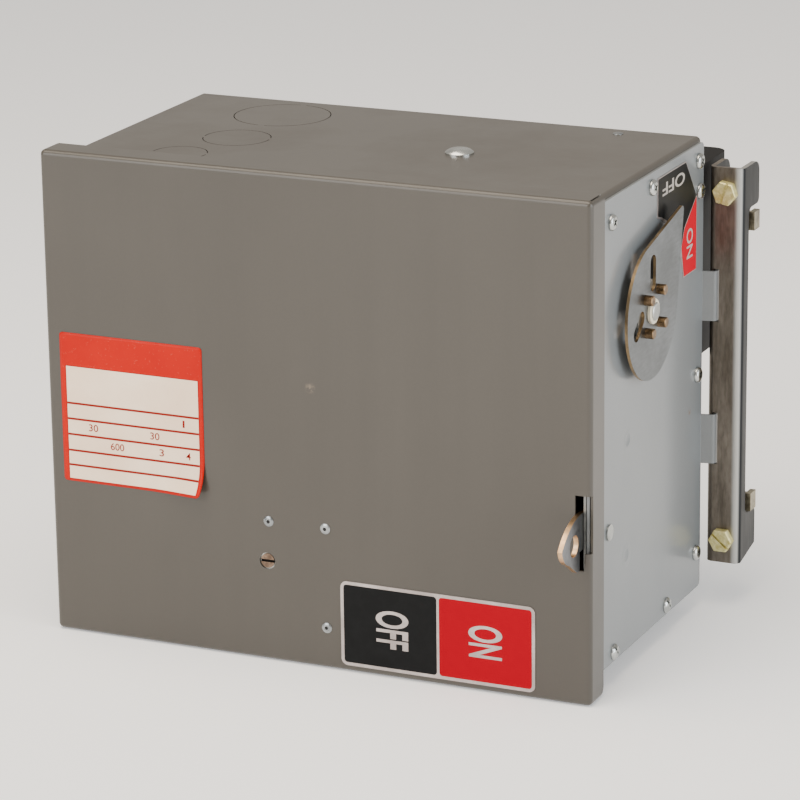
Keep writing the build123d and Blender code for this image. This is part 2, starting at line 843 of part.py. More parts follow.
# Padlock hook and the rivet that it turns on
with BuildPart() as padlock_hook:
    with BuildSketch(Plane.YZ.offset(hook_inner)):
        with BuildLine():
            nose_point = (cover_face - nose_proud, nose_z)
            nose_edge = (cover_face - nose_proud + nose_edge_in, nose_edge_z)
            eye_front = (hook_pivot_y - hook_eye / 2, hook_pivot_height - hook_eye)
            eye_top = (hook_pivot_y, hook_pivot_height + hook_eye)
            shoulder = (cover_face, hook_shoulder)
            ThreePointArc(shoulder, (cover_face - nose_bend_proud, nose_bend_z), nose_point)
            ThreePointArc(nose_point, (cover_face - nose_proud + nose_low_in, nose_low_z), nose_edge)
            Polyline(
                nose_edge,
                (nose_root - nose_tip, nose_tip_z),
                (nose_root, nose_tip_z),
                (nose_root, slot_bottom + hook_neck_gap),
                (cover_face + hook_throat_in, slot_bottom + hook_neck_gap),
                eye_front,
            )
            ThreePointArc(eye_front, (hook_pivot_y + hook_eye, hook_pivot_height), eye_top)
            Polyline(eye_top, (cover_face + hook_shoulder_in, hook_shoulder), shoulder)
        make_face()
        with Locations((nose_root - padlock_hole - padlock_edge, padlock_z)):
            Circle(padlock_hole, mode=Mode.SUBTRACT)
        with Locations((hook_pivot_y, hook_pivot_height)):
            Circle(hook_pivot_radius + running_clear, mode=Mode.SUBTRACT)
    extrude(amount=hook_plate)
padlock_hook.part.label = "padlock_hook"
export_step(padlock_hook.part, "parts/padlock_hook.step")

with BuildPart() as hook_rivet:
    rivet_start = hook_inner - hook_rivet_gap
    with BuildSketch(Plane.YZ.offset(rivet_start)):
        with Locations((hook_pivot_y, hook_pivot_height)):
            Circle(hook_pivot_radius)
    extrude(amount=right - rivet_start)
    for face_x, height in ((right, hook_rivet_head), (rivet_start, -hook_rivet_head)):
        with BuildSketch(Plane.YZ.offset(face_x)):
            with Locations((hook_pivot_y, hook_pivot_height)):
                Circle(hook_pivot_radius + hook_rivet_flange)
        extrude(amount=height)
hook_rivet.part.label = "hook_rivet"
export_step(hook_rivet.part, "parts/hook_rivet.step")

# Shaft bearing in the side panel
with BuildPart() as shaft_bearing:
    with BuildSketch(Plane.YZ.offset(right)):
        with Locations((shaft_y, shaft_height)):
            Circle(bearing_flange_radius)
    extrude(amount=bearing_flange)
    with BuildSketch(Plane.YZ.offset(right)):
        with Locations((shaft_y, shaft_height)):
            Circle(bearing_radius)
    extrude(amount=-bearing_inside)
    with BuildSketch(Plane.YZ.offset(right + bearing_flange)):
        with Locations((shaft_y, shaft_height)):
            Circle(shaft_radius + running_clear)
    extrude(amount=-bearing_flange - bearing_inside, mode=Mode.SUBTRACT)
shaft_bearing.part.label = "shaft_bearing"
export_step(shaft_bearing.part, "parts/shaft_bearing.step")

# Pointer plate: a disc with a tip, two drive slots and the studs' holes
shaft_end = plate_outer + centre_washer_thick + shaft_proud
with BuildPart() as pointer_plate:
    with BuildSketch(Plane.YZ.offset(plate_inner)):
        with Locations((shaft_y + handle_round_at[0], shaft_height + handle_round_at[1])):
            Circle(handle_round)
        tip_reach = handle_tip - handle_tip_radius
        with Locations((
            shaft_y + tip_reach * cos(radians(handle_tip_angle)),
            shaft_height + tip_reach * sin(radians(handle_tip_angle)),
        )):
            Circle(handle_tip_radius)
        make_hull()
        with Locations((shaft_y, shaft_height)):
            Circle(shaft_radius, mode=Mode.SUBTRACT)
            with PolarLocations(stud_circle_radius, stud_count, start_angle=stud_start_angle):
                Circle(stud_radius, mode=Mode.SUBTRACT)
        for along, up, turn, length in drive_slots:
            with Locations((shaft_y + along, shaft_height + up)):
                SlotOverall(length, drive_slot_width, rotation=turn, mode=Mode.SUBTRACT)
    extrude(amount=handle_thick)
pointer_plate.part.label = "pointer_plate"
export_step(pointer_plate.part, "parts/pointer_plate.step")

with BuildPart() as pointer_hub:
    with BuildSketch(Plane.YZ.offset(plate_inner - hub_thick)):
        with Locations((shaft_y, shaft_height)):
            Circle(hub_radius)
            Circle(shaft_radius, mode=Mode.SUBTRACT)
            with PolarLocations(stud_circle_radius, stud_count, start_angle=stud_start_angle):
                Circle(stud_radius, mode=Mode.SUBTRACT)
    extrude(amount=hub_thick)
pointer_hub.part.label = "pointer_hub"
export_step(pointer_hub.part, "parts/pointer_hub.step")

with BuildPart() as drive_studs:
    with BuildSketch(Plane.YZ.offset(plate_inner - hub_thick)):
        with Locations((shaft_y, shaft_height)):
            with PolarLocations(stud_circle_radius, stud_count, start_angle=stud_start_angle):
                Circle(stud_radius)
    extrude(amount=hub_thick + handle_thick + stud_proud)
    chamfer(faces().filter_by(Axis.X).sort_by(Axis.X)[-stud_count:].edges(), shaft_chamfer)
drive_studs.part.label = "drive_studs"
export_step(drive_studs.part, "parts/drive_studs.step")

with BuildPart() as centre_washer:
    with BuildSketch(Plane.YZ.offset(plate_outer)):
        with Locations((shaft_y, shaft_height)):
            Circle(centre_washer_radius)
            Circle(shaft_radius, mode=Mode.SUBTRACT)
    extrude(amount=centre_washer_thick)
    chamfer(faces().sort_by(Axis.X)[-1].outer_wire().edges(), shaft_chamfer)
centre_washer.part.label = "centre_washer"
export_step(centre_washer.part, "parts/centre_washer.step")

with BuildPart() as switch_shaft:
    with BuildSketch(Plane.YZ.offset(wall_xs[0] - cell_wall / 2)):
        with Locations((shaft_y, shaft_height)):
            Circle(shaft_radius)
    extrude(amount=shaft_end - wall_xs[0] + cell_wall / 2)
    chamfer(faces().filter_by(Axis.X).edges(), shaft_chamfer)
switch_shaft.part.label = "switch_shaft"
export_step(switch_shaft.part, "parts/switch_shaft.step")

# Crossbar moulding, slotted for the blades; the OFF position leans them from upright
blade_lean = Location((0, shaft_y, shaft_height), (handle_throw_angle, 0, 0))
lean_plane = Plane(blade_lean)
with BuildPart() as crossbar:
    with BuildSketch(Plane.YZ.offset(wall_xs[0] + cell_wall / 2 + small_step)):
        with Locations((shaft_y, shaft_height)):
            Circle(crossbar_radius)
            Circle(shaft_radius, mode=Mode.SUBTRACT)
    extrude(amount=wall_xs[-1] - wall_xs[0] - cell_wall - 2 * small_step)
    for wall in wall_xs[1:-1]:
        with BuildSketch(Plane.YZ.offset(wall - cell_wall / 2 - small_step)):
            with Locations((shaft_y, shaft_height)):
                Circle(crossbar_radius + small_step)
                Circle(crossbar_radius - crossbar_neck, mode=Mode.SUBTRACT)
        extrude(amount=cell_wall + 2 * small_step, mode=Mode.SUBTRACT)
    for x in phase_xs:
        with Locations(Plane(origin=(x, shaft_y, shaft_height), x_dir=(1, 0, 0), z_dir=lean_plane.z_dir)):
            Box(blade_thick, blade_width, 3 * crossbar_radius, mode=Mode.SUBTRACT)
crossbar.part.label = "crossbar"
export_step(crossbar.part, "parts/crossbar.step")

for number, x in enumerate(phase_xs, start=1):
    blade_side = Plane(
        origin=(x - blade_thick / 2, shaft_y, shaft_height), x_dir=lean_plane.y_dir, z_dir=(1, 0, 0)
    )
    with BuildPart() as moving_blade:
        with BuildSketch(blade_side):
            SlotOverall(2 * blade_reach, blade_width, rotation=90)
            Circle(shaft_radius, mode=Mode.SUBTRACT)
        extrude(amount=blade_thick)
    moving_blade.part.label = f"moving_blade_{number}"
    export_step(moving_blade.part, f"parts/moving_blade_{number}.step")

# Three-cell switch base: back wall, shelves, walls with journals, and a boss for the top screw
base_middle_x = (base_left + base_right) / 2
with BuildPart() as switch_base:
    with BuildSketch(Plane.XZ.offset(-back_inner)):
        with Locations(((base_left - base_ear + base_right) / 2, (shelf_bottom + shelf_top) / 2)):
            Rectangle(base_right - base_left + base_ear, shelf_top - shelf_bottom)
    extrude(amount=base_back)
    with BuildSketch(Plane.XZ.offset(-back_inner)):
        for level in (shelf_bottom + shelf / 2, shelf_top - shelf / 2):
            with Locations((base_middle_x, level)):
                Rectangle(base_right - base_left, shelf)
        for wall in wall_xs:
            with Locations((wall, (shelf_bottom + shelf_top) / 2)):
                Rectangle(cell_wall, shelf_top - shelf_bottom)
    extrude(amount=back_inner - base_reach)
    with BuildSketch(Plane.XY.offset(shelf_top)):
        with Locations(top_screw_at):
            Circle(base_boss)
    extrude(amount=top - box_sheet - shelf_top)
    with BuildSketch(Plane.XY.offset(top - box_sheet)):
        with Locations(top_screw_at):
            Circle(panel_screw_shank)
    extrude(amount=-panel_screw_length, mode=Mode.SUBTRACT)
    for wall in wall_xs:
        inner = wall in wall_xs[1:-1]
        journal = journal_clear + (crossbar_radius - crossbar_neck if inner else shaft_radius)
        with BuildSketch(Plane.YZ.offset(wall - cell_wall / 2)):
            with Locations((shaft_y, shaft_height)):
                Circle(journal)
            with Locations((shaft_y - base_front_reach / 2, shaft_height)):
                Rectangle(base_front_reach, 2 * journal)
        extrude(amount=cell_wall, mode=Mode.SUBTRACT)
    slot_wide = strap_width + 2 * strap_clear
    with BuildSketch(Plane.XZ.offset(-back_inner)):
        with Locations(*[(x, jaw_top - strap_thick / 2) for x in phase_xs]):
            Rectangle(slot_wide, strap_thick + 2 * strap_clear)
        with Locations((stab_xs[0], shaft_height + neutral_rise)):
            Rectangle(slot_wide, strap_thick + 4 * strap_clear)
        with Locations(*base_screws_at[:2]):
            Circle(panel_screw_shank + screw_clear)
    extrude(amount=base_back, mode=Mode.SUBTRACT)
    with BuildSketch(Plane.XZ.offset(-back_inner + base_ear_thick)):
        with Locations(*base_screws_at[:2]):
            Circle(base_screw_head)
    extrude(amount=base_back - base_ear_thick, mode=Mode.SUBTRACT)
    with BuildSketch(Plane.XZ.offset(-back_inner)):
        with Locations(*block_screws_at):
            Circle(rivet_head + strap_clear)
    extrude(amount=rivet_head_height + strap_clear, mode=Mode.SUBTRACT)
    with BuildSketch(Plane.XY.offset(shelf_bottom)):
        with Locations(*[(x, -pedestal_back - strap_thick / 2) for x in phase_xs]):
            Rectangle(slot_wide, strap_thick + 2 * strap_clear)
    extrude(amount=shelf, mode=Mode.SUBTRACT)
switch_base.part.label = "switch_base"
export_step(switch_base.part, "parts/switch_base.step")

with BuildPart() as top_screw:
    with Locations((*top_screw_at, top)):
        add(headed(top_screw_head, top_screw_height, panel_screw_shank, panel_screw_length))
top_screw.part.label = "top_screw"
export_step(top_screw.part, "parts/top_screw.step")

with BuildPart() as base_screws:
    with Locations(*[facing((0, -1, 0), x, back_inner - base_ear_thick, z) for x, z in base_screws_at]):
        add(headed(panel_screw_head, panel_screw_height, panel_screw_shank, base_ear_thick + box_sheet))
base_screws.part.label = "base_screws"
export_step(base_screws.part, "parts/base_screws.step")


def strap(x, points, width):
    """Copper strap bent along the points (Y, Z), centred on X."""
    with BuildPart() as piece:
        with BuildSketch(Plane.YZ.offset(x - width / 2)):
            with BuildLine():
                FilletPolyline(*points, radius=strap_thick)
            trace(line_width=strap_thick)
        extrude(amount=width)
    return piece.part


def jaw_leaves(x, root, end):
    """Pair of spring leaves that stand on a strap at the root and grip a blade from both sides."""
    with BuildPart() as pair:
        for side in (-1, 1):
            leaf_x = x + side * (blade_thick / 2 + blade_clear + jaw_leaf / 2)
            with Locations((leaf_x, shaft_y, (root + end) / 2)):
                Box(jaw_leaf, jaw_depth, abs(end - root))
    return pair.part


# Line straps from the upper jaws to the stabs, load straps from the lower jaws to the fuses
line_root = jaw_top - strap_thick
load_top = load_root + strap_thick
strap_start = shaft_y - jaw_depth / 2
stab_strap_y = stab_root - stab_floor - strap_thick / 2
fuse_strap_y = -pedestal_back - strap_thick / 2
for number, x in enumerate(phase_xs, start=1):
    line_run = [
        (strap_start, jaw_top - strap_thick / 2),
        (stab_strap_y, jaw_top - strap_thick / 2),
        (stab_strap_y, stab_height - stab_tall / 2),
    ]
    with BuildPart() as line_strap:
        add(strap(x, line_run, strap_width))
        add(jaw_leaves(x, line_root, shaft_height + jaw_start))
        with BuildSketch(Plane.XZ.offset(-stab_root)):
            with Locations((x, stab_height)):
                Circle(rivet_shank)
        extrude(amount=stab_root, mode=Mode.SUBTRACT)
    line_strap.part.label = f"line_strap_{number}"
    export_step(line_strap.part, f"parts/line_strap_{number}.step")

    load_run = [
        (strap_start, load_root + strap_thick / 2),
        (fuse_strap_y, load_root + strap_thick / 2),
        (fuse_strap_y, clip_heights[1] - pedestal_height / 2),
    ]
    with BuildPart() as load_strap:
        add(strap(x, load_run, strap_width))
        add(jaw_leaves(x, load_top, shaft_height - jaw_start))
    load_strap.part.label = f"load_strap_{number}"
    export_step(load_strap.part, f"parts/load_strap_{number}.step")

neutral_front = base_front - strap_thick / 2
neutral_top = shaft_height + neutral_end
neutral_run = [
    (stab_strap_y, stab_height - stab_tall / 2),
    (stab_strap_y, shaft_height + neutral_rise),
    (neutral_front, shaft_height + neutral_rise),
    (neutral_front, neutral_top),
]
with BuildPart() as neutral_strap:
    add(strap(stab_xs[0], neutral_run, strap_width))
    with BuildSketch(Plane.XZ.offset(-stab_root)):
        with Locations((stab_xs[0], stab_height)):
            Circle(rivet_shank)
    extrude(amount=stab_root, mode=Mode.SUBTRACT)
neutral_strap.part.label = "neutral_strap"
export_step(neutral_strap.part, "parts/neutral_strap.step")

# Fuse block with barriers and a pair of pedestals for each fuse
with BuildPart() as fuse_block:
    block_middle = (fuse_block_bottom + fuse_block_top) / 2
    block_tall = fuse_block_top - fuse_block_bottom
    with BuildSketch(Plane.XZ.offset(-back_inner)):
        with Locations(((base_left - fuse_ear + base_right) / 2, block_middle)):
            Rectangle(base_right - base_left + fuse_ear, block_tall)
    extrude(amount=base_back)
    with BuildSketch(Plane.XZ.offset(-back_inner)):
        with Locations(*[(wall, block_middle) for wall in wall_xs]):
            Rectangle(cell_wall, block_tall)
    extrude(amount=barrier_front + back_inner)
    with BuildSketch(Plane.XZ.offset(-back_inner)):
        with Locations(*[(x, clip_heights[1]) for x in phase_xs]):
            Rectangle(pedestal_width, pedestal_height)
    extrude(amount=pedestal_back + back_inner)
    lower_top = clip_heights[0] + pedestal_height / 2
    with BuildSketch(Plane.XZ.offset(-back_inner)):
        with Locations(*[(x, (lower_top + clip_tail_end) / 2) for x in phase_xs]):
            Rectangle(pedestal_width, lower_top - clip_tail_end)
    extrude(amount=pedestal_back + strap_thick + back_inner)
    with BuildSketch(Plane.XZ.offset(-back_inner)):
        with Locations(*base_screws_at[2:]):
            Circle(panel_screw_shank + screw_clear)
    extrude(amount=base_back, mode=Mode.SUBTRACT)
    with BuildSketch(Plane.XZ.offset(-back_inner + base_ear_thick)):
        with Locations(*base_screws_at[2:]):
            Circle(base_screw_head)
    extrude(amount=base_back - base_ear_thick, mode=Mode.SUBTRACT)
fuse_block.part.label = "fuse_block"
export_step(fuse_block.part, "parts/fuse_block.step")

# Spring clips round the fuses' ferrules; the lower ones carry the load lugs on their tails
with BuildPart() as fuse_clips:
    for x in phase_xs:
        for level in clip_heights:
            tail = clip_tail - clip_width / 2 if level == clip_heights[0] else 0
            with BuildSketch(Plane.XY.offset(level - clip_width / 2)):
                with Locations((x, fuse_y)):
                    Circle(fuse_radius + clip_sheet)
                    Circle(fuse_radius, mode=Mode.SUBTRACT)
                with BuildLine():
                    mouth = 3 * fuse_radius
                    Polyline(
                        (x, fuse_y),
                        (x - mouth * sin(radians(clip_mouth / 2)), fuse_y - mouth * cos(radians(clip_mouth / 2))),
                        (x + mouth * sin(radians(clip_mouth / 2)), fuse_y - mouth * cos(radians(clip_mouth / 2))),
                        close=True,
                    )
                make_face(mode=Mode.SUBTRACT)
                with Locations((x, fuse_y)):
                    for side in (-1, 1):
                        with PolarLocations(fuse_radius + clip_lip / 2, 1, start_angle=-90 + side * clip_mouth / 2):
                            Rectangle(clip_lip, clip_sheet)
            extrude(amount=clip_width)
            with BuildSketch(Plane.XZ.offset(-clip_front)):
                with Locations((x, level - tail / 2)):
                    Rectangle(strap_width, clip_width + tail)
            extrude(amount=-clip_sheet)
fuse_clips.part.label = "fuse_clips"
export_step(fuse_clips.part, "parts/fuse_clips.step")

with BuildPart() as fuse_tubes:
    with Locations(*[(x, fuse_y, fuse_height) for x in phase_xs]):
        Cylinder(fuse_body_radius, fuse_length - 2 * fuse_cap)
fuse_tubes.part.label = "fuse_tubes"
export_step(fuse_tubes.part, "parts/fuse_tubes.step")

with BuildPart() as fuse_ferrules:
    for x in phase_xs:
        for end in (-1, 1):
            with Locations((x, fuse_y, fuse_height + end * (fuse_length - fuse_ferrule) / 2)):
                Cylinder(fuse_radius, fuse_ferrule)
        with Locations((x, fuse_y, fuse_height)):
            Cylinder(fuse_body_radius, fuse_length - 2 * fuse_cap, mode=Mode.SUBTRACT)
fuse_ferrules.part.label = "fuse_ferrules"
export_step(fuse_ferrules.part, "parts/fuse_ferrules.step")

# Wire lugs: three loads, the neutral and the ground, each with its screw
lugs_at = [(x, clip_front, clip_tail_end + lug_height / 2) for x in phase_xs]
lugs_at += [
    (stab_xs[0], base_front - strap_thick, neutral_top - lug_height / 2),
    (left + ground_lug_from_left, back_inner, bottom + ground_lug_from_bottom),
]
with BuildPart() as wire_lugs:
    for x, y, z in lugs_at:
        with Locations((x, y - lug_depth / 2, z)):
            Box(lug_width, lug_depth, lug_height)
            Cylinder(lug_bore, lug_height, mode=Mode.SUBTRACT)
        with Locations((x, y - 3 * lug_depth / 4, z)):
            Cylinder(lug_screw_radius, lug_depth / 2, rotation=(90, 0, 0), mode=Mode.SUBTRACT)
wire_lugs.part.label = "wire_lugs"
export_step(wire_lugs.part, "parts/wire_lugs.step")

with BuildPart() as lug_screws:
    screw_inner = lug_depth / 2 + lug_bore
    screw_long = lug_depth - screw_inner + lug_screw_proud
    for x, y, z in lugs_at:
        with Locations((x, y - screw_inner - screw_long / 2, z)):
            Cylinder(lug_screw_radius, screw_long, rotation=(90, 0, 0))
        with BuildSketch(Plane(origin=(x, y - screw_inner - screw_long, z), x_dir=(1, 0, 0), z_dir=(0, -1, 0))):
            RegularPolygon(hex_socket, 6)
        extrude(amount=-screw_long / 2, mode=Mode.SUBTRACT)
lug_screws.part.label = "lug_screws"
export_step(lug_screws.part, "parts/lug_screws.step")

# Stab moulding: hollow from the front, a cell round each stab open to the busway
with BuildPart() as stab_block:
    with BuildSketch(Plane.XY.offset(stab_block_bottom)):
        with Locations((window_x, stab_block_reach / 2)):
            Rectangle(window_width + 2 * window_margin, stab_block_reach)
    extrude(amount=stab_block_top - stab_block_bottom)
    fillet(edges().filter_by(Axis.Z).group_by(Axis.Y)[-1], stab_block_corner)
    cells = [(x, stab_height) for x in stab_xs]
    with BuildSketch(Plane.XZ):
        with Locations((window_x, window_z)):
            Rectangle(window_width, window_height)
        with Locations(*cells):
            Rectangle(
                stab_cell_width + 2 * stab_cell_wall, stab_cell_height + 2 * stab_cell_wall, mode=Mode.SUBTRACT,
            )
    extrude(amount=-(stab_block_reach - stab_floor), mode=Mode.SUBTRACT)
    with BuildSketch(Plane.XZ):
        with Locations((window_x, window_z)):
            Rectangle(window_width, window_height)
    extrude(amount=-(stab_root - stab_floor), mode=Mode.SUBTRACT)
    with BuildSketch(Plane.XZ.offset(-stab_root)):
        with Locations(*cells):
            RectangleRounded(stab_cell_width, stab_cell_height, cell_wall / 2)
    extrude(amount=-(stab_block_reach - stab_root), mode=Mode.SUBTRACT)
    with BuildSketch(Plane.XZ.offset(-stab_root)):
        with Locations(*cells):
            Circle(rivet_shank)
    extrude(amount=stab_floor, mode=Mode.SUBTRACT)
    with BuildSketch(Plane.XZ):
        with Locations(*block_screws_at):
            Circle(rivet_shank)
    extrude(amount=-block_screw_length, mode=Mode.SUBTRACT)
stab_block.part.label = "stab_block"
export_step(stab_block.part, "parts/stab_block.step")

# Plug-in stabs, each a spring fork open to the busway's bars
for number, x in enumerate(stab_xs):
    half = (stab_gap + stab_leaf) / 2
    side_run = [(half, stab_root + stab_leaf / 2), (half, stab_root + 2 * stab_tall / 3)]
    side_run += [(half - stab_pinch, stab_reach - stab_block_corner), (half + stab_flare, stab_reach)]
    fork_run = [(x - across, y) for across, y in reversed(side_run)] + [(x + across, y) for across, y in side_run]
    with BuildPart() as stab:
        with BuildSketch(Plane.XY.offset(stab_height - stab_tall / 2)):
            with BuildLine():
                FilletPolyline(*fork_run, radius=stab_bend)
            trace(line_width=stab_leaf)
        extrude(amount=stab_tall)
        with BuildSketch(Plane.XZ.offset(-stab_root)):
            with Locations((x, stab_height)):
                Circle(rivet_shank)
        extrude(amount=-stab_leaf, mode=Mode.SUBTRACT)
    stab_name = f"stab_{number}" if number else "stab_neutral"
    stab.part.label = stab_name
    export_step(stab.part, f"parts/{stab_name}.step")

with BuildPart() as stab_rivets:
    rivet_grip = strap_thick + stab_floor + stab_leaf
    for x in stab_xs:
        with Locations(facing((0, -1, 0), x, stab_root - stab_floor - strap_thick, stab_height)):
            add(headed(rivet_head, rivet_head_height, rivet_shank, rivet_grip))
stab_rivets.part.label = "stab_rivets"
export_step(stab_rivets.part, "parts/stab_rivets.step")

with BuildPart() as block_screws:
    with Locations(*[facing((0, -1, 0), x, back_inner, z) for x, z in block_screws_at]):
        add(headed(rivet_head, rivet_head_height, rivet_shank, block_screw_length + box_sheet))
block_screws.part.label = "block_screws"
export_step(block_screws.part, "parts/block_screws.step")

# Hooks for the busway's far edge, their feet riveted inside the back plate
for name, height in zip(("lower", "upper"), hook_heights):
    with BuildPart() as busway_hook:
        foot_y = back_inner - hook_sheet / 2
        tip_y = hook_reach - hook_sheet / 2
        with BuildSketch(Plane.XY.offset(height - hook_height / 2)):
            with BuildLine():
                FilletPolyline(
                    (hook_x + hook_foot, foot_y),
                    (hook_x, foot_y),
                    (hook_x, tip_y),
                    (hook_x - hook_tip, tip_y),
                    radius=hook_bend - hook_sheet / 2,
                )
            trace(line_width=hook_sheet)
        extrude(amount=hook_height)
        with BuildSketch(Plane.XZ.offset(-back_inner)):
            with Locations(*hook_rivets_at):
                Circle(rivet_shank)
        extrude(amount=hook_sheet, mode=Mode.SUBTRACT)
    busway_hook.part.label = f"busway_hook_{name}"
    export_step(busway_hook.part, f"parts/busway_hook_{name}.step")

# Rivets of the hooks' feet and of the wrap's rear edge
with BuildPart() as case_rivets:
    with Locations(*[facing((0, -1, 0), x, back_inner - hook_sheet, z) for x, z in hook_rivets_at]):
        add(headed(rivet_head, rivet_head_height, rivet_shank, hook_sheet + box_sheet))
    for end in (-1, 1):
        with Locations(facing((0, 0, end), *wrap_rivet_at, end * top)):
            add(headed(rivet_head, rivet_head_height, rivet_shank, 2 * box_sheet))
case_rivets.part.label = "case_rivets"
export_step(case_rivets.part, "parts/case_rivets.step")

# Clamp channel: low rims between two deep ears
with BuildPart() as clamp_channel:
    ear_back = channel_front + channel_ear
    rim_edge = channel_front + channel_rim
    half_sheet = channel_sheet / 2
    channel_right = channel_left + channel_width
    with BuildSketch(Plane.XY.offset(channel_bottom)):
        with BuildLine():
            FilletPolyline(
                (channel_left + half_sheet, ear_back),
                (channel_left + half_sheet, channel_front + half_sheet),
                (channel_right - half_sheet, channel_front + half_sheet),
                (channel_right - half_sheet, ear_back),
                radius=channel_bend - half_sheet,
            )
        trace(line_width=channel_sheet)
    extrude(amount=channel_height)
    with BuildSketch(Plane.YZ.offset(channel_left)):
        with BuildLine():
            Polyline(
                (channel_front, channel_bottom),
                (channel_front, channel_top),
                (ear_back, channel_top),
                (ear_back, channel_top - upper_ear),
                (rim_edge, channel_top - upper_ear),
                (rim_edge, channel_bottom + lower_ear),
                (ear_back, channel_bottom + lower_ear),
                (ear_back, channel_bottom + ear_rise),
                (channel_front + channel_sheet, channel_bottom),
                close=True,
            )
        make_face()
        fillet(vertices().group_by(Axis.X)[2], ear_throat)
        fillet(vertices().group_by(Axis.X)[-1].sort_by(Axis.Y)[1:3], ear_edge)
        fillet(vertices().group_by(Axis.X)[-1].sort_by(Axis.Y)[-1], ear_corner)
    extrude(amount=channel_width, mode=Mode.INTERSECT)
    with BuildSketch(Plane.XZ.offset(-channel_front)):
        with Locations(*[(channel_x, height) for height in bolt_heights]):
            Circle(bolt_radius + bolt_clear)
        with Locations(*[(right - panel_sheet / 2 + tab_out, level) for level in tab_levels]):
            Rectangle(panel_sheet + 2 * tab_clear, tab_height + 2 * tab_clear)
    extrude(amount=-channel_sheet, mode=Mode.SUBTRACT)
clamp_channel.part.label = "clamp_channel"
export_step(clamp_channel.part, "parts/clamp_channel.step")

# Clamp bolts with slotted hex heads, and the jaws that they draw up
for name, height, inward, head_turn, slot_turn in zip(
    ("lower", "upper"), bolt_heights, (1, -1), bolt_head_angles, bolt_slot_angles
):
    with BuildPart() as clamp_bolt:
        with BuildSketch(Plane.XZ.offset(-channel_front)):
            with Locations((channel_x, height)):
                RegularPolygon(bolt_across_flats / 2, 6, major_radius=False, rotation=head_turn)
        extrude(amount=bolt_head)
        chamfer(faces().sort_by(Axis.Y)[0].edges(), bolt_edge)
        with BuildSketch(Plane.XZ.offset(-channel_front + bolt_head)):
            with Locations((channel_x, height)):
                Rectangle(2 * bolt_across_flats, bolt_slot, rotation=slot_turn)
        extrude(amount=-bolt_slot, mode=Mode.SUBTRACT)
        with BuildSketch(Plane.XZ.offset(-channel_front)):
            with Locations((channel_x, height)):
                Circle(bolt_radius)
        extrude(amount=-bolt_reach)
    clamp_bolt.part.label = f"clamp_bolt_{name}"
    export_step(clamp_bolt.part, f"parts/clamp_bolt_{name}.step")

    finger_z = height + inward * jaw_finger_drop
    body_out = height - inward * jaw_beyond_bolt
    body_in = finger_z + inward * jaw_finger_height / 2
    with BuildPart() as clamp_jaw:
        with BuildSketch(Plane.XZ.offset(-jaw_back)):
            with Locations((channel_x, (body_out + body_in) / 2)):
                Rectangle(jaw_body_width, abs(body_out - body_in))
            with Locations((channel_x - jaw_body_width / 2, finger_z)):
                Rectangle(jaw_finger_reach + jaw_body_width / 2, jaw_finger_height, align=(Align.MIN, Align.CENTER))
        extrude(amount=jaw_plate)
        with BuildSketch(Plane.XZ.offset(-jaw_back)):
            with Locations((channel_x + jaw_finger_reach, finger_z)):
                Rectangle(jaw_plate, jaw_finger_height, align=(Align.MAX, Align.CENTER))
        extrude(amount=-jaw_lip)
        with BuildSketch(Plane.XZ.offset(-jaw_back)):
            with Locations((channel_x, height)):
                Circle(bolt_radius + running_clear)
        extrude(amount=jaw_plate, mode=Mode.SUBTRACT)
    clamp_jaw.part.label = f"clamp_jaw_{name}"
    export_step(clamp_jaw.part, f"parts/clamp_jaw_{name}.step")
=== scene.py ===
import json
from math import cos, pi, radians, sin

import bmesh
import bpy
from mathutils import Matrix, Vector


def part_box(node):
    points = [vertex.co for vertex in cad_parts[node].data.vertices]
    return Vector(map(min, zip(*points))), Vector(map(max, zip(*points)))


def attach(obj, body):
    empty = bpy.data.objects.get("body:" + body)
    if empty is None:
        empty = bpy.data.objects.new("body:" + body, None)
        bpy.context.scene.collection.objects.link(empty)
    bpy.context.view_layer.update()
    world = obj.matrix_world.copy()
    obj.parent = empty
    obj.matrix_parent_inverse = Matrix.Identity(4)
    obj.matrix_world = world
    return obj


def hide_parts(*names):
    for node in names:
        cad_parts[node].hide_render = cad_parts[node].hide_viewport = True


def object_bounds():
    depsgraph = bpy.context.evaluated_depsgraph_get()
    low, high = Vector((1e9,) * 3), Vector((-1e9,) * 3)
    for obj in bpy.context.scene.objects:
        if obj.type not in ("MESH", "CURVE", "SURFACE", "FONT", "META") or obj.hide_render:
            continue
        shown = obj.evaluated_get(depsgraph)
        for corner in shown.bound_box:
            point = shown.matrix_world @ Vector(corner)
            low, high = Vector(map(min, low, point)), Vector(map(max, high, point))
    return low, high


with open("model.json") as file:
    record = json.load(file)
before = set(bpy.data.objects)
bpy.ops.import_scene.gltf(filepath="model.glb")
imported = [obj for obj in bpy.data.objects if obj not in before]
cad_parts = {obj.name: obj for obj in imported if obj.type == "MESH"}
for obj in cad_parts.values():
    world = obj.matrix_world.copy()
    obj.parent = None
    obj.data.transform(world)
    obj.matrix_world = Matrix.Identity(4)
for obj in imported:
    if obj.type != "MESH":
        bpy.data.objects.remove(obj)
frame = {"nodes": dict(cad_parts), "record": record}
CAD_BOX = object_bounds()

# Places and sizes are in millimetres of the shared frame, and MM turns them into metres
MM = 0.001
scene = bpy.context.scene


# Node material helpers

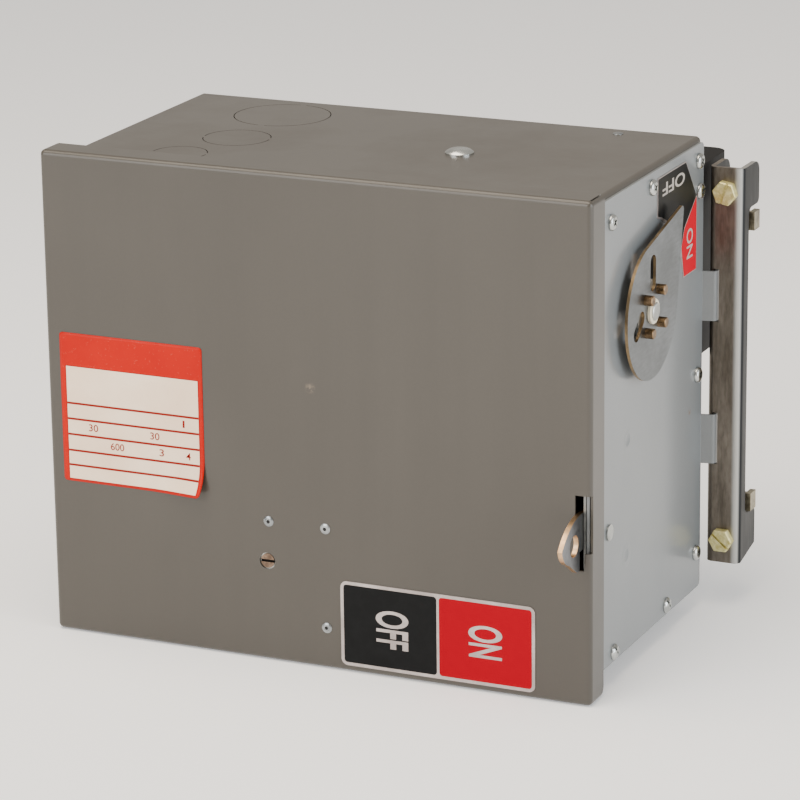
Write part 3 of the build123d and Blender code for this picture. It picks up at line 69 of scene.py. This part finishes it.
class Tree:
    """A material's node tree with short calls for the nodes that the finishes share."""

    def __init__(self, name):
        self.material = bpy.data.materials.new(name)
        self.material.use_nodes = True
        self.nodes = self.material.node_tree.nodes
        self.links = self.material.node_tree.links
        self.shader = self.nodes["Principled BSDF"]
        self.coords = self.nodes.new("ShaderNodeTexCoord")

    def put(self, socket, value):
        if isinstance(value, bpy.types.NodeSocket):
            self.links.new(value, socket)
        elif value is not None:
            socket.default_value = value

    def math(self, operation, a, b=None, clamp=False):
        node = self.nodes.new("ShaderNodeMath")
        node.operation = operation
        node.use_clamp = clamp
        self.put(node.inputs[0], a)
        if b is not None:
            self.put(node.inputs[1], b)
        return node.outputs[0]

    def stretched(self, scale):
        node = self.nodes.new("ShaderNodeMapping")
        self.put(node.inputs["Vector"], self.coords.outputs["Object"])
        node.inputs["Scale"].default_value = scale
        return node.outputs[0]

    def noise(self, scale, detail=3.0, roughness=0.55, stretch=(1, 1, 1), distortion=0.0):
        node = self.nodes.new("ShaderNodeTexNoise")
        self.put(node.inputs["Vector"], self.stretched(stretch))
        node.inputs["Scale"].default_value = scale
        node.inputs["Detail"].default_value = detail
        node.inputs["Roughness"].default_value = roughness
        node.inputs["Distortion"].default_value = distortion
        return node.outputs["Fac"]

    def spread(self, value, low, high, out_low=0.0, out_high=1.0):
        node = self.nodes.new("ShaderNodeMapRange")
        self.put(node.inputs["Value"], value)
        limits = {"From Min": low, "From Max": high, "To Min": out_low, "To Max": out_high}
        for name, number in limits.items():
            node.inputs[name].default_value = number
        return node.outputs["Result"]

    def mix(self, factor, a, b):
        node = self.nodes.new("ShaderNodeMix")
        node.data_type = "RGBA"
        self.put(node.inputs["Factor"], factor)
        self.put(node.inputs["A"], rgba(a))
        self.put(node.inputs["B"], rgba(b))
        return node.outputs["Result"]

    def axis(self, index, source="Object"):
        node = self.nodes.new("ShaderNodeSeparateXYZ")
        self.put(node.inputs[0], self.coords.outputs[source])
        return node.outputs[index]

    def facing(self, index):
        """How squarely a surface faces along one of the object's own axes, from 0 to 1."""
        return self.math("ABSOLUTE", self.axis(index, "Normal"))

    def near(self, place, low, high):
        """One close to a place in millimetres, fading to zero between two distances."""
        shift = self.nodes.new("ShaderNodeMapping")
        self.put(shift.inputs["Vector"], self.coords.outputs["Object"])
        shift.inputs["Location"].default_value = [-p * MM for p in place]
        length = self.nodes.new("ShaderNodeVectorMath")
        length.operation = "LENGTH"
        self.links.new(shift.outputs[0], length.inputs[0])
        return self.spread(length.outputs["Value"], low * MM, high * MM, 1.0, 0.0)

    def band(self, value, low, high, soft=0.1):
        """One where a value in metres lies between two sizes in millimetres."""
        rise = self.spread(value, (low - soft) * MM, (low + soft) * MM)
        fall = self.spread(value, (high - soft) * MM, (high + soft) * MM, 1.0, 0.0)
        return self.math("MULTIPLY", rise, fall)

    def bump(self, height, strength, distance):
        node = self.nodes.new("ShaderNodeBump")
        node.inputs["Strength"].default_value = strength
        node.inputs["Distance"].default_value = distance
        self.put(node.inputs["Height"], height)
        self.put(self.shader.inputs["Normal"], node.outputs["Normal"])

    def finish(self, color, roughness, metallic=0.0, specular=0.5, coat=0.0, coat_roughness=0.1):
        self.put(self.shader.inputs["Base Color"], rgba(color))
        self.put(self.shader.inputs["Roughness"], roughness)
        self.shader.inputs["Metallic"].default_value = metallic
        self.shader.inputs["Specular IOR Level"].default_value = specular
        self.shader.inputs["Coat Weight"].default_value = coat
        self.shader.inputs["Coat Roughness"].default_value = coat_roughness
        return self.material


def rgba(color):
    if isinstance(color, (tuple, list)):
        return (*color[:3], 1.0)
    return color


def srgb(code):
    """Linear colour of a six-digit hex code."""
    channels = [int(code[i:i + 2], 16) / 255 for i in (0, 2, 4)]
    return tuple(c / 12.92 if c <= 0.04045 else ((c + 0.055) / 1.055) ** 2.4 for c in channels)


# Finishes

def enamel(name, light, dark, roughness, dents=(), scuffs=()):
    """Baked enamel: slow tone drift, run marks, speckle, orange peel, dents and scuffs under a coat."""
    t = Tree(name)
    drift = t.spread(t.noise(4, detail=3), 0.35, 0.65)
    runs = t.spread(t.noise(55, detail=3, stretch=(1, 0.04, 0.08)), 0.4, 0.75, 0.0, 0.22)
    speckle = t.spread(t.noise(900, detail=2), 0.3, 0.7, 0.0, 0.08)
    tone = t.mix(drift, dark, light)
    tone = t.mix(runs, tone, tuple(c * 0.8 for c in dark))
    tone = t.mix(speckle, tone, tuple(c * 0.5 for c in dark))
    for place, size, color in scuffs:
        broken = t.spread(t.noise(500, detail=4), 0.4, 0.6)
        mark = t.math("MULTIPLY", t.near(place, size * 0.3, size), broken)
        tone = t.mix(mark, tone, color)
    smears = t.spread(t.noise(14, detail=5, stretch=(1, 1, 0.35)), 0.45, 0.7, 0.0, 0.1)
    height = t.math("MULTIPLY", t.noise(300, detail=2), 0.05)
    for place, size in dents:
        height = t.math("ADD", height, t.near(place, size * 0.25, size))
    t.bump(height, 0.35, 0.0008)
    return t.finish(tone, t.math("ADD", smears, roughness), specular=0.35, coat=0.35, coat_roughness=0.12)


def plated(name, light, dark, roughness, metallic=1.0, stretch=(1, 1, 1), grain=900.0, bump=0.1,
           blotch=60.0):
    """Bare or plated steel: brushed grain along the stretch, blotches and dulled patches."""
    t = Tree(name)
    lines = t.noise(grain, detail=4, stretch=stretch)
    patches = t.noise(blotch, detail=4, roughness=0.65)
    tone = t.mix(t.spread(patches, 0.35, 0.68), dark, light)
    tone = t.mix(t.spread(lines, 0.3, 0.75, 0.0, 0.35), tone, tuple(c * 0.55 for c in dark))
    rough = t.math("ADD", t.spread(patches, 0.3, 0.7, -0.06, 0.1), roughness)
    t.bump(lines, bump, 0.00015)
    return t.finish(tone, rough, metallic=metallic)


def plastic(name, light, dark, roughness, grain=700.0, bump=0.15, specular=0.5):
    """Moulded plastic: fine mould texture with faint flow marks."""
    t = Tree(name)
    flow = t.spread(t.noise(18, detail=3, stretch=(1, 1, 2)), 0.3, 0.7)
    t.bump(t.noise(grain, detail=3), bump, 0.0001)
    rough = t.spread(flow, 0, 1, roughness - 0.04, roughness + 0.06)
    return t.finish(t.mix(flow, dark, light), rough, specular=specular)


def printed(name, color, worn, roughness=0.35, specular=0.15):
    """Printed film: even ink with faint mottle and dust."""
    t = Tree(name)
    mottle = t.spread(t.noise(240, detail=4), 0.42, 0.8, 0.0, 0.35)
    t.bump(t.noise(600, detail=2), 0.06, 0.00006)
    rough = t.spread(t.noise(30), 0.3, 0.7, roughness - 0.05, roughness + 0.08)
    return t.finish(t.mix(mottle, color, worn), rough, specular=specular)


def edged(name, face, face_dark, edge, axis_index, roughness=0.34, stretch=(1, 0.2, 1)):
    """Cut steel plate: a dulled face with brushed grain and bright, worn cut edges."""
    t = Tree(name)
    lines = t.noise(700, detail=4, stretch=stretch)
    patches = t.noise(45, detail=4, roughness=0.65)
    tone = t.mix(t.spread(patches, 0.35, 0.68), face_dark, face)
    tone = t.mix(t.spread(lines, 0.35, 0.75, 0.0, 0.3), tone, tuple(c * 0.5 for c in face_dark))
    side = t.spread(t.facing(axis_index), 0.85, 0.6)
    worn = t.mix(t.spread(t.noise(160, detail=3), 0.35, 0.65), edge, tuple(c * 0.6 for c in edge))
    tone = t.mix(side, tone, worn)
    t.bump(lines, 0.1, 0.00015)
    return t.finish(tone, t.spread(patches, 0.3, 0.7, roughness - 0.05, roughness + 0.1), metallic=1.0)


def slotted(name, light, dark, roughness, place, turned_along, half):
    """Old screw: plated head whose slot along one axis of the object is filled with painted shade."""
    t = Tree(name)
    patches = t.noise(420, detail=4)
    tone = t.mix(t.spread(patches, 0.35, 0.65), dark, light)
    offset = t.math("SUBTRACT", t.axis(turned_along), place * MM)
    # Painted shade: the slot is coloured near black and made rough, standing in for the shade inside it
    slot_shade = t.spread(t.math("ABSOLUTE", offset), half * MM, (half + 0.12) * MM, 1.0, 0.0)
    tone = t.mix(slot_shade, tone, srgb("15120f"))
    t.bump(patches, 0.15, 0.0002)
    return t.finish(tone, t.spread(slot_shade, 0, 1, roughness, 0.8), metallic=0.8)


release_low, release_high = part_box("release_screw")
release_z = (release_low.z + release_high.z) / 2 / MM
RUST = srgb("6b4a33")
case_paint = enamel(
    "case_enamel", srgb("46423c"), srgb("3f3b35"), 0.32,
    scuffs=[((-4.4, -156, 16.0), 3.2, srgb("6b6053"))],
)
side_paint = enamel(
    "side_enamel", srgb("7a7e80"), srgb("6f7375"), 0.3,
    dents=[((141, -102.0, -9.6), 6.5), ((141, -104.1, -67.6), 6.5)],
    scuffs=[((141, -16.3, -19.0), 2.2, RUST), ((141, -60, -100), 2.5, srgb("7a7c7c"))],
)
zinc = plated("zinc_plate", srgb("c9ccca"), srgb("8f928f"), 0.3)
dull_zinc = plated("dull_zinc", srgb("9fa19e"), srgb("6d6f6d"), 0.42)
jaw_zinc = plated("jaw_zinc", srgb("b9b19a"), srgb("6f6857"), 0.34, blotch=180.0)
bright_screw = plated("bright_screw", srgb("dde0de"), srgb("a5a8a6"), 0.2, grain=2400.0)
rivet_ring = plated("rivet_ring", srgb("c4c8ca"), srgb("83888b"), 0.3, grain=2400.0)
release_metal = slotted("release_bronze", srgb("8b7563"), srgb("5a4a3e"), 0.42, release_z, 2, 0.62)
yellow_zinc = plated("yellow_zinc", srgb("efe9b4"), srgb("c9bd74"), 0.45, metallic=0.55, blotch=330.0,
                     bump=0.5)
pointer_steel = edged("pointer_steel", srgb("85898c"), srgb("5f6467"), srgb("b79c78"), 0)
hook_steel = edged("hook_steel", srgb("9a9c9f"), srgb("6a6c70"), srgb("d8b48c"), 0,
                   stretch=(1, 1, 0.2))
bronze = plated("stud_bronze", srgb("a58a6c"), srgb("55442f"), 0.38, blotch=300.0)
copper = plated("bright_copper", srgb("d99b74"), srgb("a8643f"), 0.3, stretch=(0.3, 1, 1))
tinned = plated("tinned_copper", srgb("cfcdc6"), srgb("96938c"), 0.32)
lug_metal = plated("lug_alloy", srgb("c3c5c4"), srgb("8d8f90"), 0.38)
moulding = plastic("black_moulding", srgb("19191a"), srgb("0e0e0f"), 0.55, specular=0.15)
nylon = plastic("nylon", srgb("cfc7ae"), srgb("b5ad95"), 0.4)
ivory = plastic("ivory", srgb("e9e1cc"), srgb("cfc4a8"), 0.35)
fibre = plastic("fuse_fibre", srgb("cdbd93"), srgb("b3a27a"), 0.6, grain=300.0)
ink_red = printed("ink_red", (0.34, 0.0, 0.010), (0.30, 0.001, 0.010), 0.34, 0.02)
legend_red = printed("legend_red", (0.50, 0.002, 0.016), (0.44, 0.006, 0.018), 0.45, 0.05)
ink_black = printed("ink_black", srgb("131415"), srgb("1e1f20"), 0.38, 0.08)
ink_rule = printed("ink_rule", (0.22, 0.006, 0.004), (0.28, 0.02, 0.012), 0.3, 0.05)
letter_grey = printed("letter_grey", srgb("a9a39c"), srgb("8f8a84"), 0.4)
silver_foil = plated("silver_foil", srgb("c6bdba"), srgb("a59c99"), 0.38, metallic=0.7, grain=1500.0,
                     bump=0.05)
# Painted shade: a near-black finish for the cups set into the rivet bores
bore_shade = plastic("painted_bore_shade", srgb("141414"), srgb("0a0a0a"), 0.7)


def channel_finish():
    """Mill-scale steel channel: a worn brown face, a painted highlight along the bend on its right and
    painted shade on the sides that face along X.
    """
    t = Tree("channel_steel")
    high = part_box("clamp_channel")[1]
    scale = t.noise(70, detail=5, stretch=(1, 1, 0.18), roughness=0.7)
    fine = t.noise(620, detail=4, stretch=(1, 1, 0.25))
    tone = t.mix(t.spread(scale, 0.35, 0.66), srgb("5f574d"), srgb("8d857b"))
    tone = t.mix(t.spread(fine, 0.4, 0.75, 0.0, 0.45), tone, srgb("3a3530"))
    bend = high.x / MM
    # Painted highlight: a light band along the bend on the right
    bend_highlight = t.band(t.axis(0), bend - 4.2, bend + 1.0, 0.7)
    tone = t.mix(t.math("MULTIPLY", bend_highlight, 0.8), tone, srgb("b5b6b4"))
    # Painted shade: surfaces facing along X are darkened
    side_shade = t.spread(t.facing(0), 0.6, 0.85)
    tone = t.mix(side_shade, tone, srgb("26282a"))
    t.bump(scale, 0.3, 0.0003)
    return t.finish(tone, t.spread(scale, 0.3, 0.7, 0.34, 0.5), metallic=0.85)


channel_steel = channel_finish()

slot_of = {part["node"]: part["material_slot"] for part in frame["record"]["subparts"]}
FINISH_OF_SLOT = {
    "case_paint": case_paint, "zinc_steel": zinc, "yellow_zinc": yellow_zinc,
    "channel_steel": channel_steel, "copper": copper, "tinned_copper": tinned, "bronze": bronze,
    "moulding": moulding, "bearing_plastic": nylon, "ivory_plastic": ivory,
    "legend_plastic": silver_foil, "label_print": silver_foil, "switch_plate_foil": silver_foil,
    "fuse_paper": fibre, "lug_aluminium": lug_metal,
}
FINISH_OF_NODE = {
    "side_panel": side_paint, "panel_screws": bright_screw, "bottom_screws": bright_screw,
    "top_screw": bright_screw, "pointer_plate": pointer_steel, "pointer_hub": dull_zinc,
    "mechanism_plate": dull_zinc, "padlock_hook": hook_steel, "cover_rivets": rivet_ring,
    "release_screw": release_metal, "clamp_jaw_upper": jaw_zinc, "clamp_jaw_lower": jaw_zinc,
    "case_rivets": rivet_ring,
}


for name, node in frame["nodes"].items():
    node.data.materials.clear()
    node.data.materials.append(FINISH_OF_NODE.get(name, FINISH_OF_SLOT[slot_of[name]]))


# Piece helpers

FILM_THICK = 0.1
INK_THICK = 0.03
INK_PROUD = FILM_THICK + INK_THICK


def piece(name, mesh, material, body):
    obj = bpy.data.objects.new(name, mesh)
    scene.collection.objects.link(obj)
    mesh.materials.append(material)
    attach(obj, body)
    return obj


def film(name, outline, placed, material, body):
    """Printed film from an outline of (across, up) points, placed by a function of (across, up, proud)."""
    bm = bmesh.new()
    lower = [bm.verts.new(placed(a, b, 0.0)) for a, b in outline]
    upper = [bm.verts.new(placed(a, b, FILM_THICK)) for a, b in outline]
    bm.faces.new(upper)
    bm.faces.new(list(reversed(lower)))
    count = len(outline)
    for i in range(count):
        j = (i + 1) % count
        bm.faces.new((lower[i], lower[j], upper[j], upper[i]))
    bmesh.ops.recalc_face_normals(bm, faces=bm.faces)
    mesh = bpy.data.meshes.new(name)
    bm.to_mesh(mesh)
    bm.free()
    piece(name, mesh, material, body)


def rounded(x0, z0, x1, z1, r, steps=6):
    """Outline of a rectangle with rounded corners, anticlockwise."""
    points = []
    centres = ((x1 - r, z1 - r, 0), (x0 + r, z1 - r, 90), (x0 + r, z0 + r, 180), (x1 - r, z0 + r, 270))
    for cx, cz, start in centres:
        for i in range(steps + 1):
            angle = radians(start + 90 * i / steps)
            points.append((cx + r * cos(angle), cz + r * sin(angle)))
    return points


def lettering(name, text, across, tall, matrix, material, body, bold):
    """Printed characters: a font curve made into a mesh, fitted to its size and put in place."""
    curve = bpy.data.curves.new(name, "FONT")
    curve.body = text
    curve.size = tall * MM
    curve.extrude = INK_THICK * MM
    curve.offset = bold * MM
    holder = bpy.data.objects.new(name + "_curve", curve)
    scene.collection.objects.link(holder)
    bpy.context.view_layer.update()
    mesh = bpy.data.meshes.new_from_object(holder)
    mesh.name = name
    bpy.data.objects.remove(holder)
    xs = [v.co.x for v in mesh.vertices]
    ys = [v.co.y for v in mesh.vertices]
    middle = Vector((-(min(xs) + max(xs)) / 2, -(min(ys) + max(ys)) / 2, 0))
    fit = Matrix.Diagonal((across * MM / (max(xs) - min(xs)), tall * MM / (max(ys) - min(ys)), 1, 1))
    mesh.transform(matrix @ fit @ Matrix.Translation(middle))
    piece(name, mesh, material, body)


def turned(name, profile, matrix, material, body, segments=28):
    """Turned piece: a profile of (radius, height) in millimetres spun about the matrix's Z."""
    bm = bmesh.new()
    rings = []
    for radius, height in profile:
        if radius == 0:
            rings.append([bm.verts.new((0, 0, height * MM))])
            continue
        ring = []
        for i in range(segments):
            angle = 2 * pi * i / segments
            ring.append(bm.verts.new((radius * MM * cos(angle), radius * MM * sin(angle), height * MM)))
        rings.append(ring)
    for low, high in zip(rings, rings[1:]):
        for i in range(segments):
            j = (i + 1) % segments
            corners = [low[i % len(low)], low[j % len(low)], high[j % len(high)], high[i % len(high)]]
            unique = list(dict.fromkeys(corners))
            if len(unique) > 2:
                bm.faces.new(unique)
    bmesh.ops.recalc_face_normals(bm, faces=bm.faces)
    for face in bm.faces:
        face.smooth = True
    mesh = bpy.data.meshes.new(name)
    bm.to_mesh(mesh)
    bm.free()
    mesh.transform(matrix)
    piece(name, mesh, material, body)


FACE_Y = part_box("cover")[0].y / MM


def cover_spot(a, b, proud):
    return Vector((a, FACE_Y - proud, b)) * MM


facing_cover = Matrix.Rotation(radians(90), 4, "X")
facing_side = Matrix(((0, 0, 1, 0), (1, 0, 0, 0), (0, 1, 0, 0), (0, 0, 0, 1)))


def turn(degrees):
    return Matrix.Rotation(radians(degrees), 4, "Z")


# Switch plate: silver border, black half with OFF, red half with ON, both read downwards
PLATE_BORDER = 1.7
PLATE_CORNER = 1.6
HALF_GAP = 0.7
plate_low, plate_high = (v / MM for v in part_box("switch_label"))
plate_thick = plate_high.y - plate_low.y
plate_middle = (plate_low.x + plate_high.x) / 2 + 0.5


def plate_spot(a, b, proud):
    return cover_spot(a, b, plate_thick + proud)


for half, x0, x1, ink in (
    ("side_shade", plate_low.x + PLATE_BORDER, plate_middle - HALF_GAP, ink_black),
    ("red", plate_middle + HALF_GAP, plate_high.x - PLATE_BORDER, ink_red),
):
    outline = rounded(x0, plate_low.z + PLATE_BORDER, x1, plate_high.z - PLATE_BORDER, PLATE_CORNER)
    film("plate_" + half, outline, plate_spot, ink, "cover")
for word, x, z, across, tall in (("OFF", 38.2, -103.6, 19.8, 17.6), ("ON", 88.0, -102.8, 16.8, 18.0)):
    downwards = Matrix.Translation(plate_spot(x, z, INK_PROUD)) @ facing_cover @ turn(-90)
    lettering("plate_" + word.lower(), word, across, tall, downwards, silver_foil, "cover",
              bold=0.4)

# Rating label: a printed sheet whose lower right corner has come away and curled
label_low, label_high = (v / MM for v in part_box("rating_label"))
label_wide = label_high.x - label_low.x
label_tall = label_high.z - label_low.z
CREASE = ((label_high.x, -27.0), (-98.0, label_low.z))
CURL_RADIUS = 24.0
LABEL_CORNER = 1.6
PAPER_THICK = 0.25
CREAM_TOP, CREAM_FOOT = 17.4, 76.4
CREAM_LEFT, CREAM_RIGHT = 3.2, label_wide - 2.6
CREAM_FRAME = 0.5
RULES_DOWN = (36.7, 44.9, 53.1, 61.5, 69.2)
RULE_HALF = 0.6


def curled(x, z, proud):
    """A point of the label, lifted and drawn in where it lies past the crease."""
    (ax, az), (bx, bz) = CREASE
    along = Vector((bx - ax, bz - az)).normalized()
    out = Vector((-along.y, along.x))
    past = (Vector((x, z)) - Vector((ax, az))).dot(out)
    if past <= 0:
        return cover_spot(x, z, proud)
    bend = past / CURL_RADIUS
    x += out.x * (CURL_RADIUS * sin(bend) - past)
    z += out.y * (CURL_RADIUS * sin(bend) - past)
    return cover_spot(x, z, proud + CURL_RADIUS * (1 - cos(bend)))


def label_paper():
    """Glossy printed paper: red header and border, cream rows and dark red rules, with ageing and dust."""
    t = Tree("label_paper")
    across, down = t.axis(0, "UV"), t.axis(1, "UV")
    rows = t.band(down, CREAM_TOP, CREAM_FOOT)
    cream_part = t.math("MULTIPLY", rows, t.band(across, CREAM_LEFT, CREAM_RIGHT))
    aged = t.spread(t.noise(28, detail=5), 0.35, 0.7)
    paper = t.mix(aged, srgb("fbe6cc"), srgb("f0d2b6"))
    faded = t.spread(t.noise(35, detail=3), 0.3, 0.7)
    header = t.mix(faded, (0.50, 0.007, 0.001), (0.43, 0.004, 0.001))
    ink = t.mix(cream_part, header, paper)
    rules = None
    for height in RULES_DOWN:
        line = t.band(down, height - RULE_HALF, height + RULE_HALF, 0.15)
        rules = line if rules is None else t.math("MAXIMUM", rules, line)
    ink = t.mix(t.math("MULTIPLY", rules, cream_part), ink, (0.24, 0.006, 0.004))
    framed = t.math("MULTIPLY", t.band(down, CREAM_TOP - CREAM_FRAME, CREAM_FOOT + CREAM_FRAME),
                    t.band(across, CREAM_LEFT - CREAM_FRAME, CREAM_RIGHT + CREAM_FRAME))
    frame_line = t.math("SUBTRACT", framed, cream_part, clamp=True)
    ink = t.mix(frame_line, ink, (0.34, 0.006, 0.003))
    dust = t.spread(t.noise(700, detail=4), 0.62, 0.85, 0.0, 0.25)
    t.bump(t.noise(90, detail=3), 0.1, 0.0003)
    return t.finish(t.mix(dust, ink, srgb("b89c88")), t.spread(aged, 0, 1, 0.3, 0.42), specular=0.05,
                    coat=0.12, coat_roughness=0.08)


def cornered(a, b):
    """A point of the label, across and down, drawn in where it lies outside a rounded corner."""
    short = Vector((LABEL_CORNER - min(a, label_wide - a), LABEL_CORNER - min(b, label_tall - b)))
    if min(short) > 0 and short.length > LABEL_CORNER:
        pulled = short * (1 - LABEL_CORNER / short.length)
        a += pulled.x if a < label_wide / 2 else -pulled.x
        b += pulled.y if b < label_tall / 2 else -pulled.y
    return a, b


def rating_sheet():
    """The label's paper: two curled grids joined along their rim, with a print map in metres."""
    steps = 52
    bm = bmesh.new()
    layer = bm.loops.layers.uv.new("print")
    place = {}
    grids = []
    for proud in (0.0, PAPER_THICK):
        grid = []
        for i in range(steps + 1):
            row = []
            for j in range(steps + 1):
                a, b = cornered(i / steps * label_wide, j / steps * label_tall)
                vert = bm.verts.new(curled(label_low.x + a, label_high.z - b, proud))
                place[vert] = (a * MM, b * MM)
                row.append(vert)
            grid.append(row)
        grids.append(grid)
    lower, upper = grids
    for i in range(steps):
        for j in range(steps):
            bm.faces.new((upper[i][j], upper[i][j + 1], upper[i + 1][j + 1], upper[i + 1][j]))
            bm.faces.new((lower[i][j], lower[i + 1][j], lower[i + 1][j + 1], lower[i][j + 1]))
    bend_highlight = [(i, 0) for i in range(steps)] + [(steps, j) for j in range(steps)]
    bend_highlight += [(i, steps) for i in range(steps, 0, -1)] + [(0, j) for j in range(steps, 0, -1)]
    for (i, j), (k, m) in zip(bend_highlight, bend_highlight[1:] + bend_highlight[:1]):
        bm.faces.new((upper[i][j], upper[k][m], lower[k][m], lower[i][j]))
    bmesh.ops.recalc_face_normals(bm, faces=bm.faces)
    for face in bm.faces:
        face.smooth = True
        for loop in face.loops:
            loop[layer].uv = place[loop.vert]
    mesh = bpy.data.meshes.new("rating_sheet")
    bm.to_mesh(mesh)
    bm.free()
    sheet = piece("rating_sheet", mesh, label_paper(), "cover")
    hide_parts("rating_label")


rating_sheet()
DIGIT_TALL = 3.7
for text, across, down, wide in (
    ("1", 68.8, 40.6, 1.1), ("30", 17.7, 48.6, 5.2), ("30", 52.4, 48.8, 5.2),
    ("600", 31.0, 57.0, 7.6), ("3", 56.0, 57.0, 2.5), ("4", 71.0, 57.2, 2.6),
):
    spot = cover_spot(label_low.x + across, label_high.z - down, PAPER_THICK + 0.02)
    upright = Matrix.Translation(spot) @ facing_cover
    lettering(f"rating_{text}_{round(across)}", text, wide, DIGIT_TALL, upright, ink_rule, "cover",
              bold=0.02)

# Position legend beside the pointer: black with OFF upside down, red with ON read downwards
LEGEND_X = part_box("position_legend")[1].x / MM
SHAFT_Y, SHAFT_Z = -86.0, 52.5


def legend_spot(a, b, proud):
    """A point on the legend, counted from the middle of the switch shaft."""
    return Vector((LEGEND_X + proud, SHAFT_Y + a, SHAFT_Z + b)) * MM


film("legend_black", [
    (21.9, 41.4), (21.9, 60.0), (60.4, 60.0), (75.6, 39.9), (58.6, 27.2), (54.6, 18.8), (50.6, 20.2),
    (46.0, 26.2), (40.6, 31.8), (33.5, 36.8), (27.5, 39.7),
], legend_spot, ink_black, "enclosure")
film("legend_red", [(75.7, 38.9), (75.7, 2.1), (58.8, 2.1), (55.0, 17.8), (59.2, 26.6)],
     legend_spot, legend_red, "enclosure")
for word, a, b, across, tall, turning in (
    ("OFF", 43.0, 53.3, 31.0, 6.4, 180), ("ON", 66.4, 17.4, 15.2, 8.6, -90),
):
    placed = Matrix.Translation(legend_spot(a, b, INK_PROUD)) @ facing_side @ turn(turning)
    lettering("legend_" + word.lower(), word, across, tall, placed, letter_grey, "enclosure",
              bold=0.1)

# Painted shade in the bores of the tubular rivets: dark cups set into each bore
RIVET_PROUD = 0.72
RIVET_SPOTS = ((-28.8, -55.4), (2.6, -55.4), (2.6, -107.6))
RIVET_BORE = [(0, -0.45), (0.75, -0.4), (1.05, -0.1), (1.2, 0.02), (1.3, 0.0)]
for i, (x, z) in enumerate(RIVET_SPOTS):
    outward = Matrix.Translation(cover_spot(x, z, RIVET_PROUD)) @ facing_cover
    turned(f"rivet_bore_shade_{i + 1}", RIVET_BORE, outward, bore_shade, "cover")

# Lights, floor and camera
world = bpy.data.worlds.new("studio")
scene.world = world
world.use_nodes = True
background = world.node_tree.nodes["Background"]
background.inputs["Color"].default_value = (1.0, 0.94, 0.86, 1.0)
background.inputs["Strength"].default_value = 0.6


def soft_light(name, place, target, width, height, power, color):
    data = bpy.data.lights.new(name, "AREA")
    data.shape = "RECTANGLE"
    data.size, data.size_y = width, height
    data.energy = power
    data.color = color
    lamp = bpy.data.objects.new(name, data)
    scene.collection.objects.link(lamp)
    lamp.location = place
    lamp.rotation_euler = (Vector(target) - Vector(place)).to_track_quat("-Z", "Y").to_euler()


soft_light("top_warm", (-0.2, -0.5, 1.5), (0, -0.05, 0), 1.6, 1.2, 34, (1.0, 0.88, 0.73))
soft_light("right_cool", (1.7, -0.3, 0.3), (0.1, -0.08, 0), 1.2, 1.4, 27, (0.90, 0.95, 1.0))
soft_light("front_fill", (-0.8, -1.9, 0.7), (0, -0.1, 0), 1.4, 1.4, 30, (1.0, 0.98, 0.95))

# A pale floor that glows a little, just under the part
FLOOR_Z = CAD_BOX[0][2] - 0.0005
FLOOR_REACH = 4.0
floor_mesh = bpy.data.meshes.new("floor")
bm = bmesh.new()
quarters = ((-1, -1), (1, -1), (1, 1), (-1, 1))
bm.faces.new([bm.verts.new((FLOOR_REACH * x, FLOOR_REACH * y, FLOOR_Z)) for x, y in quarters])
bm.to_mesh(floor_mesh)
bm.free()
floor = bpy.data.objects.new("floor", floor_mesh)
scene.collection.objects.link(floor)
pale = Tree("floor_pale")
pale.shader.inputs["Emission Color"].default_value = (0.97, 0.98, 1.0, 1.0)
pale.shader.inputs["Emission Strength"].default_value = 0.3
cloudy = pale.mix(pale.noise(3, detail=2), (0.9, 0.9, 0.9), (0.93, 0.93, 0.93))
floor_mesh.materials.append(pale.finish(cloudy, 0.9, specular=0.1))

# The camera stands where the photograph was taken: a focal length in pixels of its 800-pixel frame
FOCAL_PIXELS, FRAME_PIXELS = 3912.95, 800
SENSOR = 36.0
YAW, PITCH, ROLL = radians(24.5378), radians(16.8755), radians(-0.7436)
EYE = Vector((0.79432, -1.80008, 0.56364))
forward = Vector((-sin(YAW) * cos(PITCH), cos(YAW) * cos(PITCH), -sin(PITCH)))
rightward = Vector((cos(YAW), sin(YAW), 0))
upward = rightward.cross(forward)
rolled_right = cos(ROLL) * rightward + sin(ROLL) * upward
rolled_up = cos(ROLL) * upward - sin(ROLL) * rightward
camera_data = bpy.data.cameras.new("camera")
camera_data.sensor_width = SENSOR
camera_data.lens = FOCAL_PIXELS * SENSOR / FRAME_PIXELS
camera = bpy.data.objects.new("camera", camera_data)
scene.collection.objects.link(camera)
camera.matrix_world = Matrix((
    (rolled_right.x, rolled_up.x, -forward.x, EYE.x),
    (rolled_right.y, rolled_up.y, -forward.y, EYE.y),
    (rolled_right.z, rolled_up.z, -forward.z, EYE.z),
    (0, 0, 0, 1),
))
scene.camera = camera
